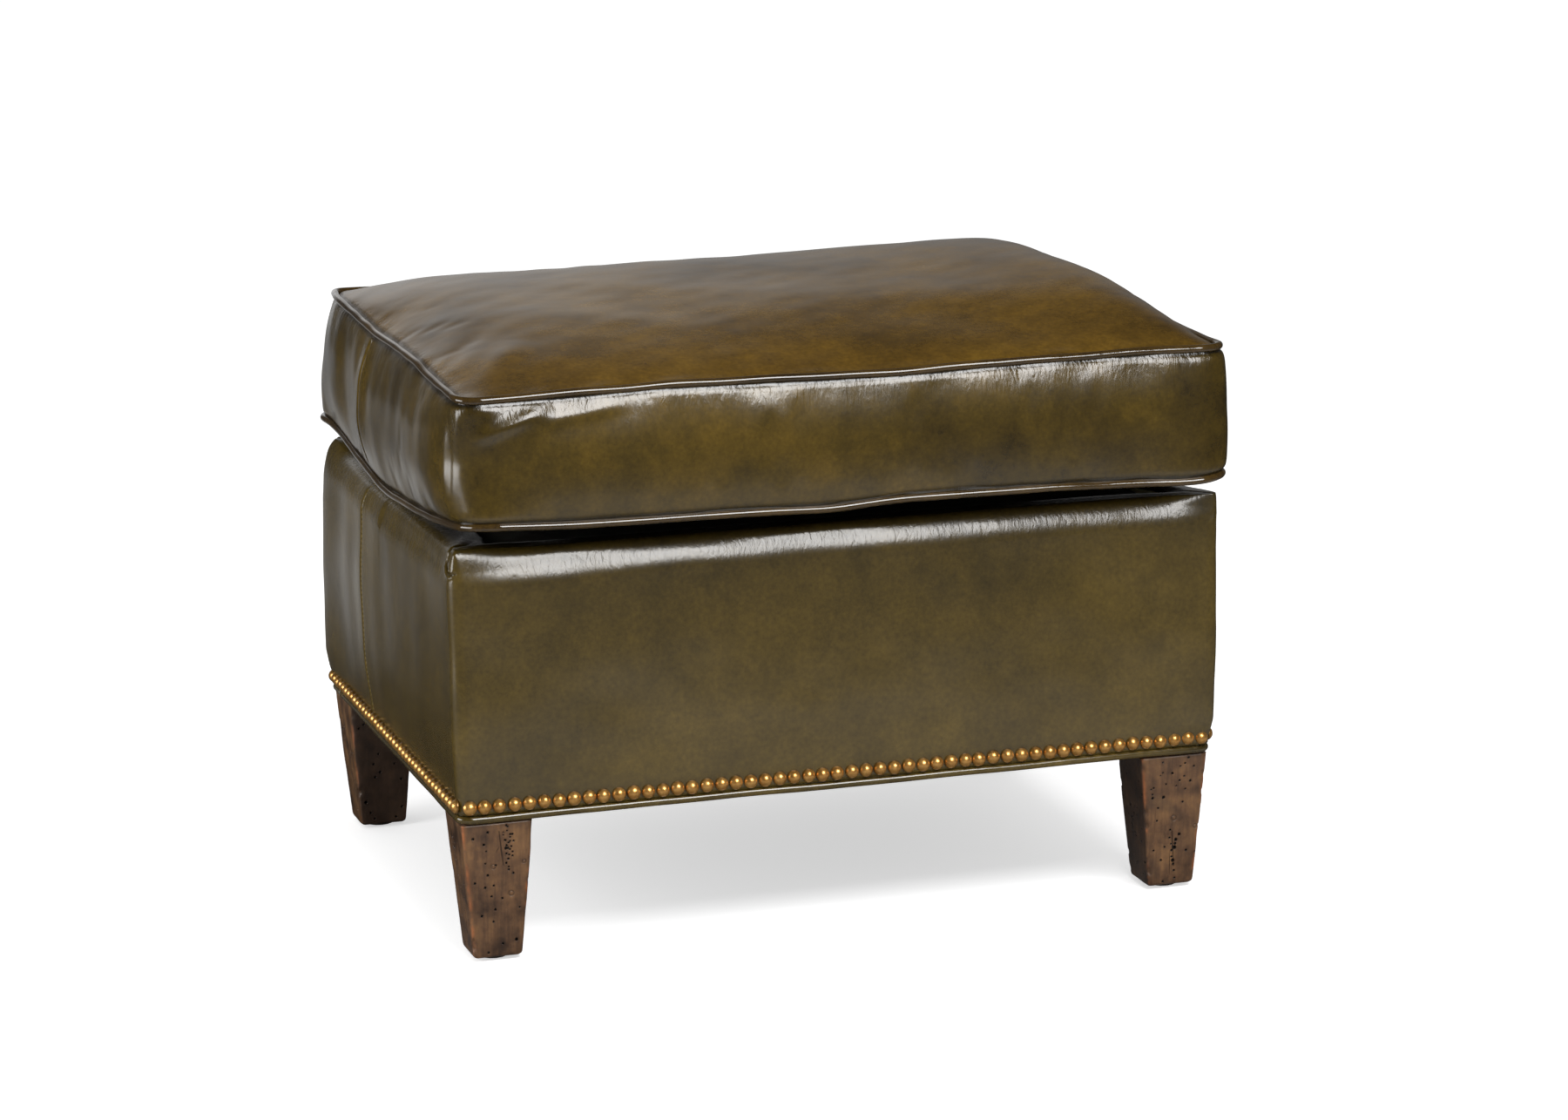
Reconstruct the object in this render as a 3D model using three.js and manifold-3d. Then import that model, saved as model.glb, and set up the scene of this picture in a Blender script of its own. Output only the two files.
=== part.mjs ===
// An upholstered footstool: a leather-covered box on four tapered legs, with a loose boxed cushion.
// Millimetres, +Z up. The front faces -Y and the long side runs along X.
// The origin is the bottom centre of the whole stool.
import * as THREE from "three";
import { mergeVertices } from "three/addons/utils/BufferGeometryUtils.js";
import Module from "manifold-3d";

const wasm = await Module();
wasm.setup();

// Overall sizes
const baseWidth = 660;
const baseDepth = 496;
const baseHeight = 225.5;
const legHeight = 117;
const glideHeight = 3;
const cushionWidth = 652;
const cushionDepth = 524;
const cushionOverhang = 31;
const cushionRimLift = 21.5;
const bandHeight = 110;

// Clearance between pieces that touch, and how far a cutter passes what it cuts
const fit = 0.3;
const overrun = 5;

// Frame
const railThickness = 22;
const blockReach = 72;
const blockTip = 12;
const blockHeight = 45;

// Legs, their bolts and glides
const legTop = 61;
const legFoot = 42;
const legEdge = 1.5;
const legInset = 1.8;
const boltInset = 14;
const boltRadius = 4;
const boltGrip = 35;
const boltFlangeRadius = 10;
const boltFlangeHeight = 2;
const boltHeadRadius = 6.5;
const boltHeadHeight = 5;
const glideRadius = 12.5;
const glidePinRadius = 1.3;
const glidePinLength = 14;

// Springs and their clips
const springCount = 4;
const springSpacing = 138;
const springBars = 13;
const springReach = 27;
const springArch = 24;
const springDrop = 7;
const wireRadius = 1.9;
const clipWidth = 15;
const clipMetal = 1.2;
const clipPlate = 11;
const clipLip = 1.4;

// Deck
const burlapThickness = 0.7;
const burlapHem = 4.5;
const burlapStep = 9;
const burlapGap = 0.8;
const deckCoverThickness = 1.2;
const deckRimDrop = 7.5;

// Padding, edge roll and leather of the base
const padThickness = 10;
const rollRadius = 20;
const leather = 1.5;
const baseBulge = 3;
const foldRadius = 6;
const flapFlat = 16;
const flapLength = 26;
const sideSeamBehindCentre = 70;

// Welts and nails
const baseWeltRadius = 3.5;
const baseWeltInset = 2;
const baseWeltLift = 4.7;
const cushionWeltRadius = 3.25;
const nailRadius = 5.5;
const nailHeight = 2.8;
const nailRimHeight = 0.7;
const nailRimRadius = 5.3;
const frontNailPitch = 12.6;
const sideNailPitch = 12.25;
const nailCornerInset = 9;
const nailLift = 15;

// Dust cover
const dustCoverThickness = 0.8;
const dustCoverMargin = 4;
const legNotchGap = 1;

// Cushion
const cushionCorner = 24;
const bandBulge = 5;
const rimDraw = 3;
const topCrown = 36;
const bottomCrown = 15;
const backRise = 10;
const bandSeamBehindCentre = 50;
const fibreWrap = 12;
const zipperRoom = 6;
const crownPowerAcross = 6;
const crownPowerAlong = 3.3;
const seatPower = 5;

// Zipper
const slotMargin = 56;
const slotHeight = 10.6;
const tapeThickness = 0.8;
const tapeHeight = 10;
const teethThickness = 2;
const teethHeight = 2.6;
const teethSlit = 1.2;
const sliderLength = 14;
const sliderHeight = 9.4;
const sliderPlate = 1.2;
const sliderFlange = 1.2;
const sliderPostLength = 3;
const sliderPostThickness = 0.6;
const sliderEndGap = 3;
const archSpan = 8;
const archBar = 1;
const archWidth = 2;
const pullLength = 24;
const pullWidth = 6;
const pullThickness = 1.2;
const pullWindowLength = 6;
const pullWindowWidth = 3.4;

// Counts of steps, and shares of the sizes that they follow
const cornerSteps = 3;
const sideSteps = 2;
const frontSteps = 4;
const faceSteps = 4;
const rollSteps = 3;
const bandSteps = 5;
const roundSides = 6;
const boltSides = 10;
const glideSides = 14;
const wireSides = 4;
const turnSteps = 2;
const crownShares = [0.4, 0.7, 0.89, 1];
const bandFlatShare = 0.4;

// Heights and half sizes worked out from the sizes above
const legTopZ = glideHeight + legHeight;
const baseTopZ = legTopZ + baseHeight;
const railBottomZ = legTopZ + fit;
const rollOuterRadius = rollRadius + fit + leather;
const rollCentreZ = baseTopZ - rollOuterRadius;
const railTopZ = rollCentreZ - rollRadius - fit;
const baseWeltZ = railBottomZ + baseWeltLift;
const coverBottomZ = baseWeltZ + baseWeltRadius + fit;
const coverOffset = fit + padThickness + fit + leather;
const railHalfX = baseWidth / 2 - coverOffset;
const railHalfY = baseDepth / 2 - coverOffset;
const innerHalfX = railHalfX - railThickness;
const innerHalfY = railHalfY - railThickness;
const legCentreX = baseWidth / 2 - legInset - legTop / 2;
const legCentreY = baseDepth / 2 - legInset - legTop / 2;
const boltX = innerHalfX - boltInset;
const boltY = innerHalfY - boltInset;
const rollOffset = coverOffset - rollOuterRadius;
const rollCorner = rollRadius + foldRadius;
const rollInnerHalfX = railHalfX + rollOffset - rollRadius;
const rollInnerHalfY = railHalfY + rollOffset - rollRadius;
const springEndZ = railTopZ - springDrop;
const burlapZ = springEndZ + springArch + wireRadius + fit;
const bottomWeltZ = baseTopZ + cushionRimLift;
const topWeltZ = bottomWeltZ + bandHeight;
const deckTopZ = bottomWeltZ - bottomCrown - fit;
const deckCrown = deckTopZ - baseTopZ + deckRimDrop;
const cushionHalfX = cushionWidth / 2;
const cushionHalfY = cushionDepth / 2;
const cushionCentreY = cushionHalfY - cushionOverhang - baseDepth / 2;
const rimInset = cushionWeltRadius + fit;
const bandLift = cushionWeltRadius + fit;
const slotLength = cushionWidth - 2 * slotMargin;
const zipperZ = bottomWeltZ + (bandHeight + backRise) / 2;
const tapeMidY = cushionCentreY + cushionHalfY + bandBulge - leather - fit - tapeThickness / 2;
const sliderTravelEndX = slotLength / 2 - sliderEndGap - sliderLength / 2;

// Materials
function material(color, roughness, metalness = 0) {
  return new THREE.MeshStandardMaterial({ color, roughness, metalness });
}
const olive = material(0x463f18, 0.32);
const oliveWelt = material(0x3c3616, 0.35);
const walnut = material(0x5a3f28, 0.6);
const hardwood = material(0xb08d5c, 0.7);
const brass = material(0xb07f2c, 0.35, 0.9);
const steel = material(0x8c8c90, 0.4, 0.9);
const foam = material(0xe6dcae, 0.9);
const fibre = material(0xf2f0e8, 0.95);
const burlap = material(0xa98f5f, 0.95);
const decking = material(0x2c2a20, 0.9);
const cambric = material(0x1b1b1b, 0.95);
const nylon = material(0x2a211a, 0.6);
const zipperFabric = material(0x33301c, 0.85);

// A geometry's mesh with shared corners merged and its faces pointing out
function closedMesh(geometry) {
  const bare = new THREE.BufferGeometry();
  bare.setAttribute("position", geometry.getAttribute("position").clone());
  if (geometry.index) {
    bare.setIndex(Array.from(geometry.index.array));
  }
  const merged = mergeVertices(bare);
  const place = merged.getAttribute("position");
  const order = Array.from(merged.index.array);
  const kept = [];
  let volume = 0;
  const a = new THREE.Vector3();
  const b = new THREE.Vector3();
  const c = new THREE.Vector3();
  for (let i = 0; i < order.length; i += 3) {
    const [p, q, r] = order.slice(i, i + 3);
    if (p === q || q === r || r === p) {
      continue;
    }
    kept.push(p, q, r);
    a.fromBufferAttribute(place, p);
    b.fromBufferAttribute(place, q);
    c.fromBufferAttribute(place, r);
    volume += a.dot(b.cross(c));
  }
  if (volume < 0) {
    for (let i = 0; i < kept.length; i += 3) {
      [kept[i + 1], kept[i + 2]] = [kept[i + 2], kept[i + 1]];
    }
  }
  merged.setIndex(kept);
  return merged;
}

function meshOf(points, triangles) {
  const geometry = new THREE.BufferGeometry();
  geometry.setFromPoints(points);
  geometry.setIndex(triangles);
  return closedMesh(geometry);
}

function solidOf(geometry) {
  const closed = closedMesh(geometry);
  const vertProperties = new Float32Array(closed.getAttribute("position").array);
  const triVerts = new Uint32Array(closed.index.array);
  return new wasm.Manifold(new wasm.Mesh({ numProp: 3, vertProperties, triVerts }));
}

function geometryOf(solid) {
  const mesh = solid.getMesh();
  const geometry = new THREE.BufferGeometry();
  geometry.setAttribute("position", new THREE.BufferAttribute(new Float32Array(mesh.vertProperties), 3));
  geometry.setIndex(Array.from(mesh.triVerts));
  return closedMesh(geometry);
}

function boxAt(low, high) {
  const size = new THREE.Vector3().subVectors(high, low);
  const centre = new THREE.Vector3().addVectors(low, high).multiplyScalar(0.5);
  return new THREE.BoxGeometry(size.x, size.y, size.z).translate(centre.x, centre.y, centre.z);
}

function box(x0, y0, z0, x1, y1, z1) {
  return boxAt(new THREE.Vector3(x0, y0, z0), new THREE.Vector3(x1, y1, z1));
}

function mirrored(geometry, signX, signY) {
  return closedMesh(geometry.clone().scale(signX, signY, 1));
}

// Two triangles for a quad, split along the diagonal that stands out further from the vertical
// axis, so that surfaces that nest inside one another are split alike
function addQuad(points, triangles, a, b, c, d) {
  const reach = (p, q) => Math.hypot(points[p].x + points[q].x, points[p].y + points[q].y);
  if (reach(a, c) >= reach(b, d)) {
    triangles.push(a, b, c, a, c, d);
  } else {
    triangles.push(a, b, d, b, c, d);
  }
}

// Side walls between closed loops of points, closed by a fan to a tip at each end
function loft(loops, firstTip, lastTip) {
  const count = loops[0].length;
  const points = loops.flat();
  const triangles = [];
  for (let row = 0; row + 1 < loops.length; row += 1) {
    for (let i = 0; i < count; i += 1) {
      const next = (i + 1) % count;
      const a = row * count + i;
      const b = row * count + next;
      addQuad(points, triangles, a, b, b + count, a + count);
    }
  }
  points.push(firstTip, lastTip);
  const first = points.length - 2;
  const last = points.length - 1;
  const lastRow = (loops.length - 1) * count;
  for (let i = 0; i < count; i += 1) {
    const next = (i + 1) % count;
    triangles.push(first, next, i, last, lastRow + i, lastRow + next);
  }
  return meshOf(points, triangles);
}

// A sheet between an outer and an inner grid of points, with its four edges closed
function sheet(outer, inner) {
  const rows = outer.length;
  const count = outer[0].length;
  const points = [...outer.flat(), ...inner.flat()];
  const back = rows * count;
  const triangles = [];
  const quad = (a, b, c, d) => addQuad(points, triangles, a, b, c, d);
  for (let row = 0; row + 1 < rows; row += 1) {
    for (let i = 0; i + 1 < count; i += 1) {
      const a = row * count + i;
      quad(a, a + 1, a + 1 + count, a + count);
      quad(back + a, back + a + count, back + a + 1 + count, back + a + 1);
    }
  }
  const top = (rows - 1) * count;
  for (let i = 0; i + 1 < count; i += 1) {
    quad(back + i, back + i + 1, i + 1, i);
    quad(top + i, top + i + 1, back + top + i + 1, back + top + i);
  }
  for (let row = 0; row + 1 < rows; row += 1) {
    const a = row * count;
    const b = a + count - 1;
    quad(a, a + count, back + a + count, back + a);
    quad(back + b, back + b + count, b + count, b);
  }
  return meshOf(points, triangles);
}

// A round tube along points, which closes on itself or ends in flat caps
function tube(path, radius, sides, closed) {
  const count = path.length;
  const vertical = new THREE.Vector3(0, 0, 1);
  const loops = path.map((point, i) => {
    const before = closed ? path[(i + count - 1) % count] : path[Math.max(i - 1, 0)];
    const after = closed ? path[(i + 1) % count] : path[Math.min(i + 1, count - 1)];
    const along = new THREE.Vector3().subVectors(after, before).normalize();
    const across = new THREE.Vector3().crossVectors(along, vertical).normalize();
    const up = new THREE.Vector3().crossVectors(across, along);
    return Array.from({ length: sides }, (_, k) => {
      const angle = (k / sides) * Math.PI * 2;
      return point.clone()
        .addScaledVector(across, Math.cos(angle) * radius)
        .addScaledVector(up, Math.sin(angle) * radius);
    });
  });
  if (!closed) {
    return loft(loops, path[0], path[count - 1]);
  }
  const triangles = [];
  for (let row = 0; row < count; row += 1) {
    const nextRow = (row + 1) % count;
    for (let k = 0; k < sides; k += 1) {
      const next = (k + 1) % sides;
      const a = row * sides + k;
      const b = row * sides + next;
      const c = nextRow * sides + next;
      const d = nextRow * sides + k;
      triangles.push(a, b, c, a, c, d);
    }
  }
  return meshOf(loops.flat(), triangles);
}

// A run round the front of a rounded rectangle, from a point on its left side to one on its right.
// The sides swell by the bulge between the corners, or draw in where it is negative.
function frontRun(halfX, halfY, radius, endY, bulge = 0) {
  const cornerX = halfX - radius;
  const cornerY = halfY - radius;
  const points = [];
  const sidePoint = (side, y) => {
    const swell = bulge * (1 - (y / cornerY) ** 2);
    return new THREE.Vector2(side * (halfX + swell), y);
  };
  const cornerPoint = (side, angle) => {
    const x = side * (cornerX + radius * Math.cos(angle));
    return new THREE.Vector2(x, -cornerY - radius * Math.sin(angle));
  };
  for (let i = 0; i <= sideSteps; i += 1) {
    points.push(sidePoint(-1, THREE.MathUtils.lerp(endY, -cornerY, i / sideSteps)));
  }
  for (let i = 1; i <= cornerSteps; i += 1) {
    points.push(cornerPoint(-1, (i / cornerSteps) * Math.PI / 2));
  }
  for (let i = 1; i < frontSteps; i += 1) {
    const x = THREE.MathUtils.lerp(-cornerX, cornerX, i / frontSteps);
    points.push(new THREE.Vector2(x, -halfY - bulge * (1 - (x / cornerX) ** 2)));
  }
  for (let i = cornerSteps; i >= 0; i -= 1) {
    points.push(cornerPoint(1, (i / cornerSteps) * Math.PI / 2));
  }
  for (let i = 1; i <= sideSteps; i += 1) {
    points.push(sidePoint(1, THREE.MathUtils.lerp(-cornerY, endY, i / sideSteps)));
  }
  return points;
}

// The same run round the rear, ending at the same points
function rearRun(halfX, halfY, radius, endY, bulge = 0) {
  return frontRun(halfX, halfY, radius, -endY, bulge).map((point) => new THREE.Vector2(point.x, -point.y));
}

function run(facing, halfX, halfY, radius, endY, bulge) {
  const shape = facing < 0 ? frontRun : rearRun;
  return shape(halfX, halfY, radius, endY, bulge);
}

function raised(points, z) {
  return points.map((point) => new THREE.Vector3(point.x, point.y, z));
}

function loopAt(halfX, halfY, radius, z, bulge = 0, joinY = 0) {
  const front = frontRun(halfX, halfY, radius, joinY, bulge);
  const rear = rearRun(halfX, halfY, radius, joinY, bulge).reverse().slice(1, -1);
  return raised([...front, ...rear], z);
}

const stool = new THREE.Group();
const base = new THREE.Group();
const cushion = new THREE.Group();
stool.add(base, cushion);
cushion.position.set(0, cushionCentreY, 0);

function addPiece(group, name, geometry, look) {
  const mesh = new THREE.Mesh(closedMesh(geometry), look);
  mesh.name = name;
  group.add(mesh);
  return mesh;
}

const corners = [
  { name: "front_left", x: -1, y: -1 },
  { name: "front_right", x: 1, y: -1 },
  { name: "back_left", x: -1, y: 1 },
  { name: "back_right", x: 1, y: 1 },
];

// Frame: four rails, butted at the corners, and a glue block in each corner
function addFrame() {
  for (const [name, side] of [["front", -1], ["back", 1]]) {
    const near = side * innerHalfY;
    const far = side * railHalfY;
    const low = Math.min(near, far);
    const high = Math.max(near, far);
    const rail = box(-railHalfX, low, railBottomZ, railHalfX, high, railTopZ);
    addPiece(base, `rail_${name}`, rail, hardwood);
  }
  const sideHalfY = innerHalfY - fit;
  for (const [name, side] of [["left", -1], ["right", 1]]) {
    const near = side * innerHalfX;
    const far = side * railHalfX;
    const low = Math.min(near, far);
    const high = Math.max(near, far);
    const rail = box(low, -sideHalfY, railBottomZ, high, sideHalfY, railTopZ);
    addPiece(base, `rail_${name}`, rail, hardwood);
  }
  const cornerX = innerHalfX - fit;
  const cornerY = innerHalfY - fit;
  const outline = new THREE.Shape([
    new THREE.Vector2(cornerX, cornerY),
    new THREE.Vector2(cornerX - blockReach, cornerY),
    new THREE.Vector2(cornerX - blockReach, cornerY - blockTip),
    new THREE.Vector2(cornerX - blockTip, cornerY - blockReach),
    new THREE.Vector2(cornerX, cornerY - blockReach),
  ]);
  const block = new THREE.ExtrudeGeometry(outline, { depth: blockHeight, bevelEnabled: false });
  block.translate(0, 0, railBottomZ);
  const drilled = geometryOf(solidOf(block).subtract(solidOf(boltHole())));
  for (const corner of corners) {
    addPiece(base, `corner_block_${corner.name}`, mirrored(drilled, corner.x, corner.y), hardwood);
  }
}

// A round bar standing on z, with its axis at the given place
function post(x, y, low, high, radius, sides) {
  const bar = new THREE.CylinderGeometry(radius, radius, high - low, sides);
  return bar.rotateX(Math.PI / 2).translate(x, y, (low + high) / 2);
}

function boltHole() {
  const low = legTopZ - boltGrip - overrun / 2;
  const high = railBottomZ + blockHeight + overrun;
  return post(boltX, boltY, low, high, boltRadius + fit, boltSides);
}

function turned(profile, sides, x, y, z) {
  const outline = profile.map(([radius, height]) => new THREE.Vector2(radius, height));
  return new THREE.LatheGeometry(outline, sides).rotateX(Math.PI / 2).translate(x, y, z);
}

// Legs: square and tapered on all four sides, bolted up into the corner blocks
function addLegs() {
  const section = (size, z) => {
    const half = size / 2;
    const flat = half - legEdge;
    const places = [
      [flat, -half], [half, -flat], [half, flat], [flat, half],
      [-flat, half], [-half, flat], [-half, -flat], [-flat, -half],
    ];
    return places.map(([x, y]) => new THREE.Vector3(legCentreX + x, legCentreY + y, z));
  };
  const footZ = glideHeight + fit;
  const tip = (z) => new THREE.Vector3(legCentreX, legCentreY, z);
  const blank = loft([section(legFoot, footZ), section(legTop, legTopZ)], tip(footZ), tip(legTopZ));
  const pinTopZ = footZ + glidePinLength + fit;
  const pinRoom = glidePinRadius + fit;
  const pinHole = post(legCentreX, legCentreY, glideHeight - overrun, pinTopZ, pinRoom, roundSides);
  const leg = geometryOf(solidOf(blank).subtract(solidOf(boltHole())).subtract(solidOf(pinHole)));
  const blockTopZ = railBottomZ + blockHeight;
  const flangeZ = blockTopZ + fit;
  const boltProfile = [
    [0, legTopZ - boltGrip],
    [boltRadius, legTopZ - boltGrip],
    [boltRadius, flangeZ],
    [boltFlangeRadius, flangeZ],
    [boltFlangeRadius, flangeZ + boltFlangeHeight],
    [boltHeadRadius, flangeZ + boltFlangeHeight],
    [boltHeadRadius, flangeZ + boltFlangeHeight + boltHeadHeight],
    [0, flangeZ + boltFlangeHeight + boltHeadHeight],
  ];
  const glideProfile = [
    [0, 0],
    [glideRadius, 0],
    [glideRadius, glideHeight],
    [glidePinRadius, glideHeight],
    [glidePinRadius, footZ + glidePinLength],
    [0, footZ + glidePinLength],
  ];
  const bolt = turned(boltProfile, boltSides, boltX, boltY, 0);
  const glide = turned(glideProfile, glideSides, legCentreX, legCentreY, 0);
  for (const corner of corners) {
    addPiece(base, `leg_${corner.name}`, mirrored(leg, corner.x, corner.y), walnut);
    addPiece(base, `leg_bolt_${corner.name}`, mirrored(bolt, corner.x, corner.y), steel);
    addPiece(base, `glide_${corner.name}`, mirrored(glide, corner.x, corner.y), nylon);
  }
}

// Springs: zigzag wires that arch from the front rail to the back one, each end held in a clip
function addSprings() {
  const wireGap = wireRadius + fit;
  const endY = innerHalfY - fit - clipMetal - wireGap;
  const pitch = (2 * endY) / (springBars - 1);
  const turnRadius = pitch / 2;
  const barHalf = springReach - turnRadius;
  const path = [];
  const addPoint = (x, y) => {
    path.push(new THREE.Vector3(x, y, springEndZ + springArch * (1 - (y / endY) ** 2)));
  };
  for (let bar = 0; bar < springBars; bar += 1) {
    const y = -endY + bar * pitch;
    const side = bar % 2 === 0 ? 1 : -1;
    addPoint(-side * barHalf, y);
    addPoint(side * barHalf, y);
    for (let step = 1; step <= turnSteps && bar + 1 < springBars; step += 1) {
      const angle = (step / (turnSteps + 1)) * Math.PI;
      addPoint(side * (barHalf + turnRadius * Math.sin(angle)), y + turnRadius * (1 - Math.cos(angle)));
    }
  }
  const wire = tube(path, wireRadius, wireSides, false);
  const trough = clipMetal + 2 * wireGap;
  const clipOutline = new THREE.Shape([
    new THREE.Vector2(0, -clipPlate),
    new THREE.Vector2(clipMetal, -clipPlate),
    new THREE.Vector2(clipMetal, -wireGap - clipMetal),
    new THREE.Vector2(trough + clipMetal, -wireGap - clipMetal),
    new THREE.Vector2(trough + clipMetal, clipLip),
    new THREE.Vector2(trough, clipLip),
    new THREE.Vector2(trough, -wireGap),
    new THREE.Vector2(clipMetal, -wireGap),
    new THREE.Vector2(clipMetal, wireGap),
    new THREE.Vector2(0, wireGap),
  ]);
  for (let i = 0; i < springCount; i += 1) {
    const x = (i - (springCount - 1) / 2) * springSpacing;
    addPiece(base, `spring_${i + 1}`, wire.clone().translate(x, 0, 0), steel);
    for (const [name, side] of [["front", -1], ["back", 1]]) {
      const plan = [];
      for (const point of clipOutline.getPoints()) {
        plan.push(new THREE.Vector3(0, side * (innerHalfY - fit - point.x), springEndZ + point.y));
      }
      const left = plan.map((point) => point.clone().setX(x - clipWidth / 2));
      const right = plan.map((point) => point.clone().setX(x + clipWidth / 2));
      addPiece(base, `spring_clip_${i + 1}_${name}`, prism(left, right, clipOutline), steel);
    }
  }
}

// A straight prism between two like outlines, with caps cut as the flat shape's triangles
function prism(first, last, outline) {
  const flat = THREE.ShapeUtils.triangulateShape(outline.getPoints(), []);
  const count = first.length;
  const triangles = [];
  for (let i = 0; i < count; i += 1) {
    const next = (i + 1) % count;
    triangles.push(i, next, count + next, i, count + next, count + i);
  }
  for (const [a, b, c] of flat) {
    triangles.push(c, b, a, count + a, count + b, count + c);
  }
  return meshOf([...first, ...last], triangles);
}

// Deck: burlap over the springs, a pad inside the edge roll and a cloth cover
function addDeck() {
  const rimHalfX = innerHalfX + burlapHem;
  const rimHalfY = innerHalfY + burlapHem;
  const hemZ = railTopZ + fit;
  const levels = [
    [0, hemZ],
    [burlapHem, hemZ],
    [burlapHem + burlapStep, (hemZ + burlapZ) / 2 - burlapStep / 2],
    [burlapHem + 2 * burlapStep, burlapZ],
  ];
  const loopIn = ([inset, z], lift) => {
    const insideRoll = railHalfX + rollOffset - rimHalfX + inset;
    const round = Math.max(rollCorner - insideRoll, foldRadius);
    return loopAt(rimHalfX - inset, rimHalfY - inset, round, z + lift);
  };
  const upper = [...levels].reverse().map((level) => loopIn(level, burlapThickness));
  const lower = levels.map((level) => loopIn(level, 0));
  const middle = (z) => new THREE.Vector3(0, 0, z);
  const cloth = loft([...upper, ...lower], middle(burlapZ + burlapThickness), middle(burlapZ));
  addPiece(base, "deck_burlap", cloth, burlap);

  const padHalfX = rollInnerHalfX - burlapGap;
  const padHalfY = rollInnerHalfY - burlapGap;
  const padBottomZ = burlapZ + burlapThickness + fit;
  const deckLoop = (share, drop) => {
    const z = deckTopZ - drop - deckCrown * share ** seatPower;
    return loopAt(padHalfX * share, padHalfY * share, foldRadius * share, z);
  };
  const padDrop = deckCoverThickness + fit;
  const padTop = crownShares.map((share) => deckLoop(share, padDrop)).reverse();
  const padBottom = loopAt(padHalfX, padHalfY, foldRadius, padBottomZ);
  const pad = loft([padBottom, ...padTop], middle(padBottomZ), middle(deckTopZ - padDrop));
  addPiece(base, "deck_pad", pad, foam);

  const top = crownShares.map((share) => deckLoop(share, 0));
  const under = crownShares.map((share) => deckLoop(share, deckCoverThickness)).reverse();
  const cover = loft([...top, ...under], middle(deckTopZ), middle(deckTopZ - deckCoverThickness));
  addPiece(base, "deck_cover", cover, decking);
}

// The heights at which the padding and leather of the base have a row of points
function faceHeights() {
  const heights = [];
  for (let i = 0; i <= faceSteps; i += 1) {
    heights.push(THREE.MathUtils.lerp(coverBottomZ, railTopZ, i / faceSteps));
  }
  return heights;
}

function baseSwell(z) {
  return baseBulge * Math.sin(Math.PI * (z - coverBottomZ) / (rollCentreZ - coverBottomZ));
}

// Padding: a layer on the outside of each rail, and a foam roll round the top edge
function addPadding() {
  const heights = faceHeights();
  const outerOffset = fit + padThickness;
  const across = (facing, offset, swell) => {
    const points = run(facing, railHalfX + offset, railHalfY + offset, offset, 0, swell);
    return points.slice(sideSteps, points.length - sideSteps);
  };
  for (const [name, facing] of [["front", -1], ["back", 1]]) {
    const outer = heights.map((z) => raised(across(facing, outerOffset, baseSwell(z)), z));
    const inner = heights.map((z) => raised(across(facing, fit, 0), z));
    addPiece(base, `padding_${name}`, sheet(outer, inner), fibre);
  }
  const endY = railHalfY - fit;
  const stops = [];
  for (let i = 0; i <= 2 * sideSteps; i += 1) {
    const ahead = THREE.MathUtils.lerp(-railHalfY, sideSeamBehindCentre, Math.min(i / sideSteps, 1));
    const behind = THREE.MathUtils.lerp(sideSeamBehindCentre, railHalfY, Math.max(i / sideSteps - 1, 0));
    stops.push(i < sideSteps ? ahead : behind);
  }
  const along = (side, x, swell, z) => stops.map((stop) => {
    const y = THREE.MathUtils.clamp(stop, -endY, endY);
    return new THREE.Vector3(side * (x + swell * (1 - (stop / railHalfY) ** 2)), y, z);
  });
  for (const [name, side] of [["left", -1], ["right", 1]]) {
    const outer = heights.map((z) => along(side, railHalfX + outerOffset, baseSwell(z), z));
    const inner = heights.map((z) => along(side, railHalfX + fit, 0, z));
    addPiece(base, `padding_${name}`, sheet(outer, inner), fibre);
  }
  const path = loopAt(railHalfX + rollOffset, railHalfY + rollOffset, rollCorner, rollCentreZ);
  addPiece(base, "edge_roll", tube(path, rollRadius, 4 * rollSteps, true), foam);
}

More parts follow.
